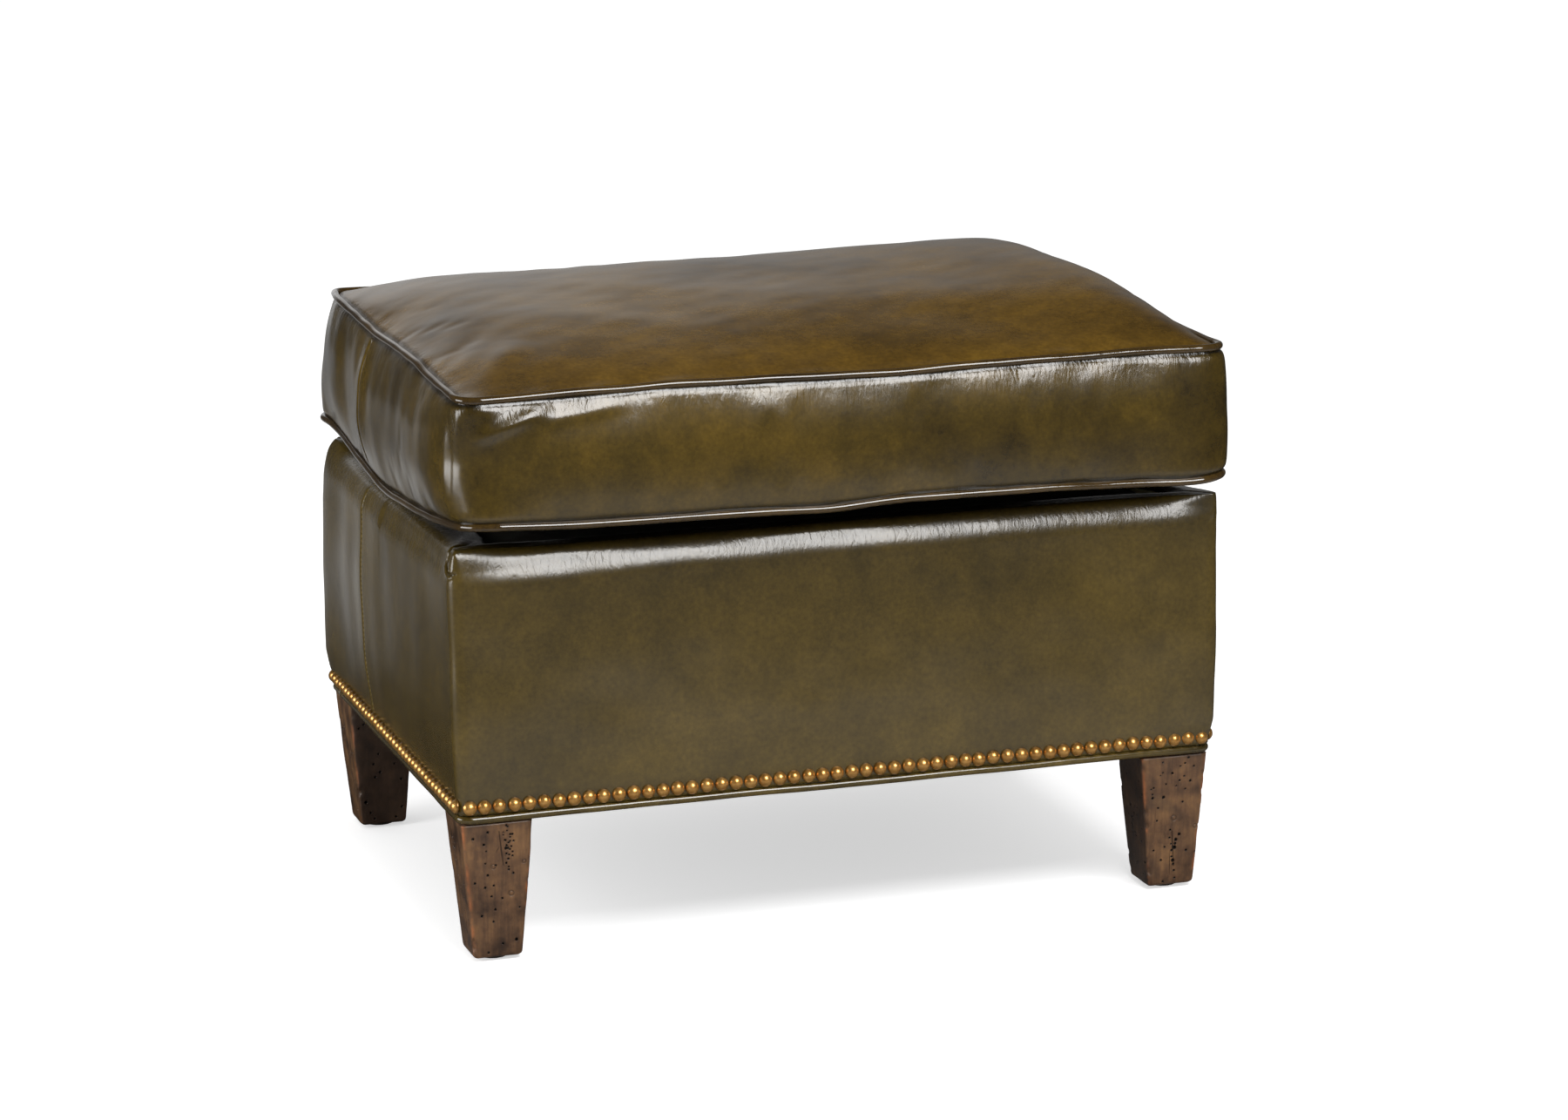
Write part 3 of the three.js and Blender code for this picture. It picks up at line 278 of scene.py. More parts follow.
def make_studio():
    """A white floor and backdrop, soft lamps, and cards that only reflections see."""
    scene.view_settings.view_transform = "Standard"
    world = bpy.data.worlds.new("studio")
    scene.world = world
    world.use_nodes = True
    graph = Graph(world.node_tree)
    strength = graph.span(graph.seen_plainly(), 0, 1, WORLD_LIGHT, 1.0)
    sky = graph.add("Background", {"Color": (1, 1, 1, 1), "Strength": strength})
    graph.add("OutputWorld", {"Surface": sky.outputs[0]})

    look, graph = material("floor_white")
    grey = (FLOOR_GREY, FLOOR_GREY, FLOOR_GREY, 1)
    plain = graph.add("BsdfDiffuse", {"Color": grey})
    lift = graph.math("MULTIPLY", graph.seen_plainly(), FLOOR_GLOW)
    glow = graph.add("Emission", {"Color": (1, 1, 1, 1), "Strength": lift})
    both = graph.add("AddShader", {0: plain.outputs[0], 1: glow.outputs[0]})
    graph.add("OutputMaterial", {"Surface": both.outputs[0]})
    bare_object("floor", square(30), [(0, 1, 2, 3)], look)

    look, graph = material("tent_grey")
    parts = graph.parts()
    up = graph.greys(graph.span(parts["Z"], 0, 4), TENT_UP)
    tone = graph.mix(1.0, graph.greys_round(parts, TENT_ROUND), up, "MULTIPLY")
    rows, columns, radius = 10, 48, 4.2
    tent = []  # A dome that starts just under the floor
    for row in range(rows):
        level = math.radians(-0.5 + 90.5 * row / (rows - 1))
        flat = max(radius * math.cos(level), 0.01)
        for column in range(columns):
            angle = column / columns * 2 * math.pi
            tent.append((flat * math.cos(angle), flat * math.sin(angle), radius * math.sin(level)))
    card("tent", tent, grid_faces(rows, columns, closed=True), look, graph, tone)

    look, graph = material("ground_grey")
    parts = graph.parts()
    away = graph.add("VectorMath", {0: graph.place()}, operation="LENGTH").outputs[1]
    reach = graph.span(away, 0, 3)
    around = graph.greys_round(parts, GROUND_ROUND)
    rear = graph.mix(1.0, graph.greys(reach, GROUND_REAR), around, "MULTIPLY")
    front = graph.greys(reach, GROUND_FRONT)
    tone = graph.mix(graph.span(parts["Y"], -0.5, 0.1), front, rear)
    card("ground_card", square(4.4, 0.001), [(0, 1, 2, 3)], look, graph, tone)

    light_panel("front_box", (0.44, -2.25, 1.66), (0, -0.1, 0.40), 1.15, 1.30, 11, lights=False)
    light_panel("left_box", (-1.60, -0.10, 0.42), (0, -0.05, 0.42), 0.85, 0.62, 5.5, lights=False)
    light_panel("front_light", (0.30, -1.75, 2.35), (0, -0.1, 0.40), 1.5, 1.1, 10, mirrored=False)
    light_panel("left_light", (-2.0, -0.4, 1.1), (0, -0.1, 0.30), 1.0, 1.0, 5, mirrored=False)
    light_panel("over", (-0.4, -0.1, 2.60), (0, 0, 0.3), 1.4, 0.9, 0.9, mirrored=False)


# ---------------------------------------------------------------- meshes


def bare_object(name, points, faces, look, smooth=False):
    mesh = bpy.data.meshes.new(name)
    mesh.from_pydata([tuple(map(float, p)) for p in points], [], faces)
    mesh.update()
    if smooth:
        mesh.shade_smooth()
    mesh.materials.append(look)
    thing = bpy.data.objects.new(name, mesh)
    scene.collection.objects.link(thing)
    return thing


def piece(name, points, faces, look, body, nodes=(), skin=0.0, marks=None):
    """A finished piece on a body. Skin gives a sheet that thickness inwards."""
    thing = bare_object(name, points, faces, look, smooth=True)
    mark(thing, marks or {})
    if skin:
        thicken = thing.modifiers.new("skin", "SOLIDIFY")
        thicken.thickness = skin
        thicken.offset = -1
        settle(thing)
    return dress(thing, body, nodes)


def mark(thing, marks):
    """Gives each point a number under each name, for the materials to read."""
    for key, values in marks.items():
        layer = thing.data.attributes.new(key, "FLOAT", "POINT")
        layer.data.foreach_set("value", np.asarray(values, np.float32))


def cut_out(name, points, faces, chosen, look, body, node, marks):
    """The chosen faces of a surface as a panel of leather, a skin thick."""
    kept = [faces[i] for i in np.flatnonzero(chosen)]
    used = np.array(sorted({v for face in kept for v in face}))
    place_of = {int(v): i for i, v in enumerate(used)}
    kept = [tuple(place_of[v] for v in face) for face in kept]
    marks = {key: values[used] for key, values in marks.items()}
    made = piece(name, points[used], kept, look, body, [node], SKIN, marks)


def dress(thing, body, nodes=()):
    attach(thing, body)
    if nodes:
        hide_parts(*nodes)
    return thing


def settle(thing):
    """Applies a thing's modifiers to its mesh."""
    graph = bpy.context.evaluated_depsgraph_get()
    mesh = bpy.data.meshes.new_from_object(thing.evaluated_get(graph))
    thing.modifiers.clear()
    thing.data = mesh


def places_of(thing):
    flat = np.empty(len(thing.data.vertices) * 3)
    thing.data.vertices.foreach_get("co", flat)
    return flat.reshape(-1, 3)


def move_points(thing, points):
    thing.data.vertices.foreach_set("co", points.ravel())
    thing.data.update()


def open_mesh(data):
    mesh = bmesh.new()
    mesh.from_mesh(data)
    return mesh


def close_mesh(mesh, data):
    mesh.to_mesh(data)
    mesh.free()


def finish_mesh(mesh, name, look):
    """An object in one material, from a mesh under construction."""
    data = bpy.data.meshes.new(name)
    close_mesh(mesh, data)
    data.materials.append(look)
    thing = bpy.data.objects.new(name, data)
    scene.collection.objects.link(thing)
    return thing


def grid_faces(rows, columns, closed=False):
    """Quads between rows of points. A closed grid joins each row's end to its start."""
    faces = []
    for row in range(rows - 1):
        for i in range(columns if closed else columns - 1):
            j = (i + 1) % columns
            a, b = row * columns + i, row * columns + j
            faces.append((a, b, b + columns, a + columns))
    return faces


def drift(points, size, seed, waves=14):
    """A smooth random field over points, mostly -1 to 1, with humps about size apart."""
    rng = np.random.default_rng(seed)
    ways = rng.normal(size=(waves, 3))
    ways /= np.linalg.norm(ways, axis=1)[:, None] * size * rng.uniform(0.8, 2.0, (waves, 1))
    angles = np.asarray(points) @ ways.T * 2 * np.pi + rng.uniform(0, 2 * np.pi, waves)
    return np.sin(angles).sum(axis=1) / math.sqrt(waves / 2) * 0.7


def step(value, low, high):
    """0 below low and 1 above high, with a smooth rise between."""
    t = np.clip((value - low) / (high - low), 0, 1)
    return t * t * (3 - 2 * t)


def hump(value, width, middle=0.0):
    """1 at the middle, and a smooth fall on both sides of it."""
    return np.exp(-(((value - middle) / width) ** 2))


def distance(points, spot):
    return np.linalg.norm(points - spot, axis=1)


def along_line(points, start, end):
    """How far along a line each point lies, 0 to 1 between its ends, and how far from it."""
    line = end - start
    share = (points - start) @ line / (line @ line)
    return share, distance(points, start + np.clip(share, 0, 1)[:, None] * line)


def side_line(half_u, half_v, radius, shares):
    """Points (along, out) on one side of a rounded rectangle, between its diagonals."""
    radius = min(radius, half_u, half_v)
    arc, straight = math.pi * radius / 4, 2 * (half_u - radius)
    t = np.asarray(shares) * (2 * arc + straight)
    along = np.empty(len(t))
    out = np.full(len(t), half_v)
    flat = (t >= arc) & (t <= arc + straight)
    along[flat] = t[flat] - arc - (half_u - radius)
    for part, start, sign in ((t < arc, 0, -1), (t > arc + straight, arc + straight, 1)):
        if part.any():
            angle = (t[part] - start) / radius - (math.pi / 4 if sign < 0 else 0)
            along[part] = sign * (half_u - radius) + radius * np.sin(angle)
            out[part] = half_v - radius + radius * np.cos(angle)
    return along, out


def even(count):
    return np.arange(count) / max(count, 1)


def spaced(length, fine, coarse, marks, width):
    """Shares of a length, from 0 up to 1, that lie closer together near the marks."""
    samples = 4000
    t = np.linspace(0, 1, samples + 1)
    density = np.full(len(t), 1 / coarse)
    for mark in marks:
        density += (1 / fine - 1 / coarse) * hump((t - mark) * length, width)
    parts = (density[1:] + density[:-1]) / 2 * length / samples
    total = np.concatenate([[0], np.cumsum(parts)])
    count = int(round(total[-1]))
    return np.interp(np.arange(count) / count * total[-1], total, t)


def ring(half_x, half_y, radius, shares, swell_x=0.0, swell_y=0.0):
    """A loop round a rounded rectangle, from its front left diagonal, the front first.
    swell_x stands the sides that face X out in their middle, and swell_y the others.
    shares gives where the points of the front, right, back and left lie."""
    points = []
    for side in range(4):
        across = side % 2 == 0
        half_u, half_v = (half_x, half_y) if across else (half_y, half_x)
        along, out = side_line(half_u, half_v, radius, shares[side])
        share = np.clip(np.abs(along) / max(half_u - radius, 1e-6), 0, 1)
        out = out + (swell_y if across else swell_x) * (1 - share**2)
        turned = ((along, -out), (out, along), (-along, out), (-out, -along))
        points.append(np.column_stack(turned[side]))
    return np.vstack(points)


def push_corners(points, half_x, half_y, mid_y, pushes, reach=0.045):
    """Pushes what lies near each upright corner outwards along its diagonal, or inwards."""
    moved = points.copy()
    for (sign_x, sign_y), push in pushes.items():
        gap = np.hypot(points[:, 0] - sign_x * half_x, points[:, 1] - mid_y - sign_y * half_y)
        push = push * hump(gap, reach)
        moved[:, 0] += sign_x * push / math.sqrt(2)
        moved[:, 1] += sign_y * push / math.sqrt(2)
    return moved


def tube_along(path, radius):
    """A closed tube along a closed path, and the faces that cover it."""
    sides = 14
    path = np.asarray(path)
    ahead = np.roll(path, -1, axis=0) - np.roll(path, 1, axis=0)
    ahead /= np.linalg.norm(ahead, axis=1)[:, None]
    across = np.cross(ahead, [0, 0, 1])
    across /= np.linalg.norm(across, axis=1)[:, None]
    up = np.cross(across, ahead)
    radius = np.broadcast_to(radius, len(path))
    rows = []
    for k in range(sides):
        angle = k / sides * 2 * math.pi
        rows.append(path + (across * math.cos(angle) + up * math.sin(angle)) * radius[:, None])
    points = np.stack(rows, axis=1).reshape(-1, 3)
    faces = []
    count = len(path)
    for i in range(count):
        j = (i + 1) % count
        for k in range(sides):
            m = (k + 1) % sides
            faces.append((i * sides + k, i * sides + m, j * sides + m, j * sides + k))
    return points, faces


def finer(loop, times):
    """A closed loop with more points, on a smooth curve through the ones given."""
    loop = np.asarray(loop)
    before, after = np.roll(loop, 1, axis=0), np.roll(loop, -1, axis=0)
    beyond = np.roll(loop, -2, axis=0)
    parts = []
    bend = 2 * before - 5 * loop + 4 * after - beyond
    twist = 3 * loop - before - 3 * after + beyond
    for k in range(times):
        t = k / times
        parts.append(0.5 * (2 * loop + (after - before) * t + bend * t**2 + twist * t**3))
    return np.stack(parts, axis=1).reshape(-1, loop.shape[1])


# How near a shell a point has to lie to be kept inside it
SHELL_REACH = 0.03


class Shell:
    """A surface that what lies under it is kept inside."""

    def __init__(self, points, faces):
        self.tree = BVHTree.FromPolygons([Vector(p) for p in points], faces)

    def tuck(self, points, gap, closed):
        """Moves points that come nearer than gap to the surface, or past it, back inside.
        A closed surface also keeps them that far under its top and over its bottom."""
        moved = points.copy()
        for i, point in enumerate(points):
            spot, normal = self.tree.find_nearest(Vector(point), SHELL_REACH)[:2]
            if spot is None:
                continue
            if (Vector(point) - spot).dot(normal) > -gap:
                moved[i] = spot - normal * gap
            for way in (-1, 1) if closed else ():
                start = Vector((moved[i][0], moved[i][1], -way))
                roof = self.tree.ray_cast(start, Vector((0, 0, way)), 2)[0]
                hit = roof is not None and (roof.z - ZIP_Z) * way < 0
                if hit and (moved[i][2] - roof.z) * way < gap:
                    moved[i][2] = roof.z + way * gap
        return moved


def soften(node, name, look, body, slot, cell, shell, gap, puff, fill):
    """A soft piece in the place of a solid: remeshed, rounded off, and slightly uneven."""
    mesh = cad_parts[node].data.copy()
    thing = bpy.data.objects.new(name, mesh)
    scene.collection.objects.link(thing)
    mesh.materials.clear()
    mesh.materials.append(look)
    remesh = thing.modifiers.new("remesh", "REMESH")
    remesh.mode = "VOXEL"
    remesh.voxel_size = cell
    round_off = thing.modifiers.new("round", "SMOOTH")
    round_off.factor = 0.5
    round_off.iterations = 3
    settle(thing)
    points = places_of(thing)
    normals = np.empty(points.size)
    thing.data.vertices.foreach_get("normal", normals)
    points += normals.reshape(-1, 3) * (puff * drift(points, 0.05, len(node)) - puff)[:, None]
    if shell:
        points = shell.tuck(points, gap, body == "cushion")
    move_points(thing, points)
    thing.data.shade_smooth()
    dress(thing, body, [node])


def lay_sheet(node, name, look, sag=0.0):
    """A sheet of cloth in the place of a thin solid, with the slight waves of real cloth."""
    mesh = open_mesh(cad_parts[node].data)
    bmesh.ops.remove_doubles(mesh, verts=mesh.verts, dist=1e-5)
    for _ in range(3):
        long = [e for e in mesh.edges if e.calc_length() > 0.016]
        bmesh.ops.subdivide_edges(mesh, edges=long, cuts=1, use_grid_fill=True)
    bmesh.ops.triangulate(mesh, faces=[f for f in mesh.faces if len(f.verts) > 4])
    thing = finish_mesh(mesh, name, look)
    points = places_of(thing)
    middle = (1 - (points[:, 0] / 0.32) ** 2) * (1 - ((points[:, 1] - BASE_MID_Y) / 0.24) ** 2)
    points[:, 2] -= np.clip(middle, 0, 1) * (sag + 0.0004 * drift(points * [1, 1, 0], 0.12, 31))
    move_points(thing, points)
    dress(thing, "base", [node])


# ---------------------------------------------------------------- materials


# Colours mixed into the wood and leather: painted shade in the worm holes, dirt and painted shade
# on the legs, and painted shade in the leather's crevices and under the cushion
HOLE_SHADE_TONE, DIRT_AND_SHADE, PAINTED_SHADE = (10, 7, 5), (34, 24, 18), (20, 15, 7)


def leather_look(name, dark, middle, light, seed, rough=0.20, index=1.10, wrinkles=True):
    """Hand-rubbed leather: clouded colour, a fine grain, a waxy gloss, and painted shade where
    its points are marked dark. On a welt it has no wrinkles and shines a little more."""
    look, graph = material(name)
    inputs = {"Vector": graph.place(), "Location": (seed, 0, 0)}
    shift = graph.add("Mapping", inputs).outputs[0]
    cloud = graph.noise(4.2, 4, 0.55, shift)
    patch = graph.noise(17, 5, 0.60, graph.scaled(1, 1, 0.7, shift))
    mottle = graph.noise(62, 6, 0.68, shift)
    speck = graph.noise(260, 4, 0.65, shift)
    tone = graph.sum_of((cloud, 0.50), (patch, 0.28), (mottle, 0.22))
    colour = graph.tones(graph.span(tone, 0.36, 0.64), dark, middle, light)
    grain = graph.span(speck, 0.3, 0.7, 0.80, 1.18)
    colour = graph.mix(1.0, colour, grain, "MULTIPLY")
    # Painted shade: a near-black brown is mixed in where the points are marked dark, beside the
    # welts, under the cushion and in the base's folds
    shade = graph.math("MULTIPLY", graph.value_of("dark"), 0.85)
    colour = graph.mix(shade, colour, srgb(*PAINTED_SHADE))
    normal = graph.bump(graph.noise(60, 3, 0.5, shift), 0.0009, 0.16)
    normal = graph.bump(graph.cells(820, shift), 0.00010, 0.06, normal)
    if wrinkles:
        slant = graph.scaled(1.0, 1.0, 0.22, shift, (0, 0.42, 0))
        lines = graph.noise(230, 3, 0.55, slant, 0.8)
        lines = graph.math("MULTIPLY", lines, graph.value_of("rim"))
        normal = graph.bump(lines, 0.0014, 0.42, normal)
    graph.shade(
        Base_Color=colour,
        Roughness=graph.span(mottle, 0.3, 0.7, 0.46, 0.56),
        Normal=normal,
        IOR=index,
        Coat_Weight=0.9 if wrinkles else 1.0,
        Coat_Roughness=rough,
        Coat_IOR=1.7,
        Coat_Normal=normal,
    )
    return look


def wood_look(name, dark, middle, light, worn):
    """Distressed wood: streaked grain, painted shade in the worm holes, dirt and painted shade, and
    rubbed edges.
    """
    look, graph = material(name)
    streak = graph.noise(60, 5, 0.6, graph.scaled(1.0, 1.0, 0.10), 1.2)
    cloud = graph.noise(42, 4, 0.6)
    tone = graph.sum_of((streak, 0.35), (cloud, 0.65))
    colour = graph.tones(graph.span(tone, 0.36, 0.66), dark, middle, light)
    fine = graph.noise(420, 3, 0.6, graph.scaled(1.0, 1.0, 0.07))
    colour = graph.mix(1.0, colour, graph.span(fine, 0.35, 0.65, 0.82, 1.08), "MULTIPLY")
    rubbed = graph.span(graph.noise(60, 3), 0.48, 0.62)
    edge = graph.math("MULTIPLY", graph.value_of("edge"), rubbed)
    colour = graph.mix(edge, colour, srgb(*worn))
    # Dirt in patches, darker gouges and dents, and painted shade on the faces that look under the
    # stool
    colour = graph.mix(graph.value_of("grime_and_shade"), colour, srgb(*DIRT_AND_SHADE))
    # Painted shade in the worm holes
    colour = graph.mix(graph.value_of("hole_shade"), colour, srgb(*HOLE_SHADE_TONE))
    normal = graph.bump(graph.noise(120, 4), 0.0006, 0.5)
    normal = graph.bump(fine, 0.00018, 0.5, normal)
    graph.shade(
        Base_Color=colour,
        Roughness=graph.span(cloud, 0.3, 0.7, 0.42, 0.60),
        Normal=normal,
        IOR=1.48,
        Coat_Weight=0.25,
        Coat_Roughness=0.32,
        Coat_Normal=normal,
    )
    return look


def metal_look(name, low, high, rough, grime_and_shade=(40, 26, 12)):
    look, graph = material(name)
    cloud = graph.noise(160, 4, 0.6)
    colour = graph.tones(graph.span(cloud, 0.35, 0.65), low, high)
    # Darker where the points are marked: grime, and on the nail heads painted contact shade at the
    # rim
    colour = graph.mix(graph.value_of("grime_and_shade"), colour, srgb(*grime_and_shade))
    graph.shade(
        Base_Color=colour,
        Metallic=0.85,
        Roughness=graph.span(cloud, 0.3, 0.7, rough - 0.05, rough + 0.08),
        Normal=graph.bump(graph.noise(900, 3), 0.00005, 0.35),
        Coat_Weight=0.6,
        Coat_Roughness=0.08,
    )
    return look


def cloth_look(name, low, high, threads, depth):
    """Plain weave: threads per metre each way, over and under."""
    look, graph = material(name)
    parts = graph.parts()
    waves = []
    for axis in ("X", "Y"):
        angle = graph.math("MULTIPLY", parts[axis], threads * math.pi)
        waves.append(graph.math("ABSOLUTE", graph.math("SINE", angle)))
    weave = graph.math("MULTIPLY", waves[0], waves[1])
    tone = graph.sum_of((weave, 0.5), (graph.noise(35, 4), 0.5))
    graph.shade(
        Base_Color=graph.ramp(tone, (0.2, srgb(*low)), (0.8, srgb(*high))),
        Roughness=0.95,
        Normal=graph.bump(weave, depth, 0.7),
    )
    return look


def fluffy_look(name, low, high, scale, depth):
    look, graph = material(name)
    fine = graph.noise(scale, 5, 0.7)
    graph.shade(
        Base_Color=graph.tones(graph.span(fine, 0.3, 0.7), low, high),
        Roughness=0.95,
        Normal=graph.bump(fine, depth, 0.8),
    )
    return look


LEATHER = leather_look("olive_leather", (41, 31, 8), (69, 54, 11), (93, 72, 16), 0)
TOP_LEATHER = leather_look("olive_leather_top", (50, 36, 10), (82, 60, 16), (106, 79, 21), 0, 0.27)
BASE_LEATHER = leather_look(
    "olive_leather_base", (56, 45, 14), (75, 60, 17), (92, 74, 22), 3, 0.24, 1.15
)
BASE_WELT_LEATHER = leather_look(
    "base_welt_leather", (50, 41, 15), (74, 60, 22), (96, 79, 32), 7, 0.14, wrinkles=False
)
WELT_LEATHER = leather_look(
    "welt_leather", (40, 29, 12), (58, 43, 18), (78, 59, 26), 7, 0.07, wrinkles=False
)
WALNUT = wood_look("walnut", (60, 38, 20), (98, 66, 36), (130, 91, 48), (166, 92, 38))
HARDWOOD = wood_look("frame_wood", (150, 116, 76), (178, 144, 98), (198, 166, 120), (188, 152, 104))
BRASS = metal_look("antique_brass", (206, 146, 70), (240, 184, 104), 0.32)
STEEL = metal_look("spring_steel", (118, 118, 122), (158, 158, 162), 0.38, (60, 58, 55))
FOAM = fluffy_look("foam", (224, 212, 168), (238, 228, 188), 700, 0.0006)
FIBRE = fluffy_look("fibre", (232, 229, 220), (246, 244, 238), 180, 0.0025)
BURLAP = cloth_look("burlap", (130, 108, 70), (176, 150, 104), 380, 0.0006)
DECKING = cloth_look("decking", (30, 28, 20), (52, 48, 36), 1400, 0.0002)
CAMBRIC = cloth_look("cambric", (16, 16, 16), (34, 34, 34), 900, 0.0001)
TAPE = cloth_look("zipper_tape", (40, 36, 20), (62, 56, 32), 1600, 0.0001)
THREAD = fluffy_look("thread", (112, 98, 62), (140, 124, 84), 900, 0.0002)
NYLON = fluffy_look("nylon", (34, 27, 21), (48, 39, 30), 300, 0.0001)


# ---------------------------------------------------------------- the cushion

# Heights of the cushion's two welts, given along each side: (place, height), in tenths
# of a millimetre
TOP_FRONT = [
    (-3260, 4768), (-2400, 4778), (-1600, 4794), (-500, 4770), (550, 4760), (1870, 4786),
    (3260, 4782),
]
TOP_LEFT = [
    (-2620, 4772), (-2220, 4772), (-1690, 4797), (-1060, 4838), (-410, 4852), (170, 4846),
    (460, 4842), (960, 4872), (1570, 4900), (2040, 4912), (2550, 4892),
]
TOP_BACK = [
    (-3260, 4880), (-2700, 4878), (-2000, 4885), (-500, 4862), (1000, 4846), (2300, 4858),
    (3260, 4870),
]
TOP_RIGHT = [
    (-2620, 4782), (-1800, 4792), (-1280, 4828), (-790, 4866), (-300, 4890), (200, 4866),
    (700, 4850), (1500, 4868), (2550, 4870),
]
LOW_FRONT = [
    (-3260, 3745), (-3040, 3734), (-2840, 3721), (-2630, 3714), (-2400, 3706), (-1430, 3694),
    (-140, 3668), (520, 3702), (1870, 3696), (3000, 3665), (3260, 3695),
]
LOW_LEFT = [
    (-2620, 3735), (-2150, 3695), (-1650, 3650), (-920, 3608), (-190, 3582), (300, 3600),
    (750, 3640), (1320, 3682), (1800, 3725), (2350, 3768), (2550, 3768),
]
LOW_BACK = [
    (-3260, 3768), (-1800, 3700), (0, 3680), (1800, 3705), (3260, 3730),
]
LOW_RIGHT = [
    (-2620, 3695), (-1500, 3670), (0, 3650), (1200, 3690), (2550, 3730),
]
# How far each upright corner of the cushion stands out past a plain rounded one
TOP_PUSH = {(-1, -1): 0.0, (1, -1): 0.003, (-1, 1): -0.0105, (1, 1): -0.003}
MID_PUSH = {(-1, -1): -0.0060, (1, -1): -0.0005, (-1, 1): -0.003, (1, 1): 0.002}
LOW_PUSH = {(-1, -1): -0.0035, (1, -1): 0.0115, (-1, 1): 0.0125, (1, 1): 0.009}
# Points of the grid that the cushion is made from, each way and up its band
COLUMNS, ROWS, BAND_ROWS = 84, 68, 14
# Where the crown begins inside the welt, how deep the rim's waves run, in loops of the
# grid, and the room that is left over the deck
CROWN_HEM, WAVE_LOOPS, DECK_ROOM = 0.0035, 9, 0.0006
# The numbers that the faces of the top, the bottom, and the front and rear band carry
TOP, BOTTOM, BAND, REAR_BAND = range(4)
# Past REAR_Y lies the rear band alone. Past FLAT_Y its leather is pressed flat, at the
# ends of the zipper's slot, so that the pull can swing over it
REAR_Y, FLAT_Y = 0.25, 0.2646
# Where the band is cut beside its seam, so that the leather can sink there
SEAM_CUTS = (-0.007, -0.0045, -0.0025, -0.0012, 0, 0.0012, 0.0025, 0.0045, 0.007)


def rim_height(points, sides):
    """Height of a welt at points round it, read along its four sides and rounded off."""
    front, right, back, left = (np.array(side) / TENTHS for side in sides)
    x, y = points[:, 0], points[:, 1]
    reach_x, reach_y = CUSHION_X - np.abs(x), CUSHION_Y - np.abs(y - CUSHION_MID_Y)
    across = reach_y < reach_x
    height = np.where(
        across,
        np.where(y < 0, np.interp(x, *front.T), np.interp(x, *back.T)),
        np.where(x < 0, np.interp(y, *left.T), np.interp(y, *right.T)),
    )
    kernel = np.array([1, 2, 3, 4, 3, 2, 1]) / 16
    padded = np.concatenate([height[-3:], height, height[:3]])
    return np.convolve(padded, kernel, "valid")


def panel_grid(corner, bow):
    """A grid over the cushion's plan whose loops follow its rounded outline.
    bow is how far its two ends stand out in their middle."""
    grid = np.zeros((COLUMNS + 1, ROWS + 1, 2))
    for k in range(ROWS // 2 + 1):
        half_x = CUSHION_X * (1 - 2 * k / COLUMNS)
        half_y = CUSHION_Y * (1 - 2 * k / ROWS)
        inset = CUSHION_Y - half_y
        wide, deep = COLUMNS - 2 * k, ROWS - 2 * k
        fade = (1 - k / (ROWS // 2)) ** 2
        radius = max(corner - inset, 0.0005) if half_y > 0.001 else 0
        shares = (even(wide), even(deep)) * 2
        loop = ring(half_x, max(half_y, 1e-6), radius, shares, bow * fade, -0.002 * fade)
        spots = [(k + i, k) for i in range(wide)]
        spots += [(COLUMNS - k, k + j) for j in range(deep)]
        spots += [(COLUMNS - k - i, ROWS - k) for i in range(wide)]
        spots += [(k, ROWS - k - j) for j in range(deep)]
        if deep == 0:
            line = np.linspace(-half_x, half_x, wide + 1)
            for i in range(wide + 1):
                grid[k + i, k] = (line[i], 0)
            continue
        for (i, j), spot in zip(spots, loop):
            grid[i, j] = spot
    grid[:, :, 1] += CUSHION_MID_Y
    return grid


def rim_spots():
    """The grid's rim, in the order that ring goes round."""
    spots = [(i, 0) for i in range(COLUMNS)]
    spots += [(COLUMNS, j) for j in range(ROWS)]
    spots += [(COLUMNS - i, ROWS) for i in range(COLUMNS)]
    return spots + [(0, ROWS - j) for j in range(ROWS)]


def crown(x, y, power_x, power_y):
    across = np.clip(np.abs(x) / (CUSHION_X - CROWN_HEM), 0, 1)
    along = np.clip(np.abs(y - CUSHION_MID_Y) / (CUSHION_Y - CROWN_HEM), 0, 1)
    return (1 - across**power_x) * (1 - along**power_y)


def relax_rim(grid, rim_z):
    """Carries the rim's height into the panel, so that the middle ignores its waves."""
    known = dict(zip(rim_spots(), rim_z))
    level_x = (grid[:, :, 0] + CUSHION_X) / (2 * CUSHION_X)
    level_y = (grid[:, :, 1] - CUSHION_MID_Y + CUSHION_Y) / (2 * CUSHION_Y)
    near = known[0, 0] * (1 - level_x) + known[COLUMNS, 0] * level_x
    far = known[0, ROWS] * (1 - level_x) + known[COLUMNS, ROWS] * level_x
    height = near * (1 - level_y) + far * level_y
    wave = np.zeros(grid.shape[:2])
    for (i, j), z in known.items():
        wave[i, j] = z - height[i, j]
    for i in range(1, COLUMNS):
        for j in range(1, ROWS):
            k = min(i, j, COLUMNS - i, ROWS - j)
            column = round(COLUMNS * (i - k) / max(COLUMNS - 2 * k, 1))
            row = round(ROWS * (j - k) / max(ROWS - 2 * k, 1))
            if k in (j, ROWS - j):
                source = (column, 0 if k == j else ROWS)
            else:
                source = (0 if k == i else COLUMNS, row)
            wave[i, j] = wave[source] * max(0, 1 - k / WAVE_LOOPS) ** 2
    return height + wave


def grid_shell():
    """The faces of the top and bottom panel with their numbers, and each one's rim."""
    count = (COLUMNS + 1) * (ROWS + 1)

    def index(i, j, panel):
        return panel * count + i * (ROWS + 1) + j

    faces, panels = [], []
    for i in range(COLUMNS):
        for j in range(ROWS):
            quad = [(i, j), (i + 1, j), (i + 1, j + 1), (i, j + 1)]
            faces.append(tuple(index(*q, TOP) for q in quad))
            faces.append(tuple(index(*q, BOTTOM) for q in reversed(quad)))
            panels += [TOP, BOTTOM]
    return faces, panels, [[index(i, j, side) for i, j in rim_spots()] for side in (TOP, BOTTOM)]


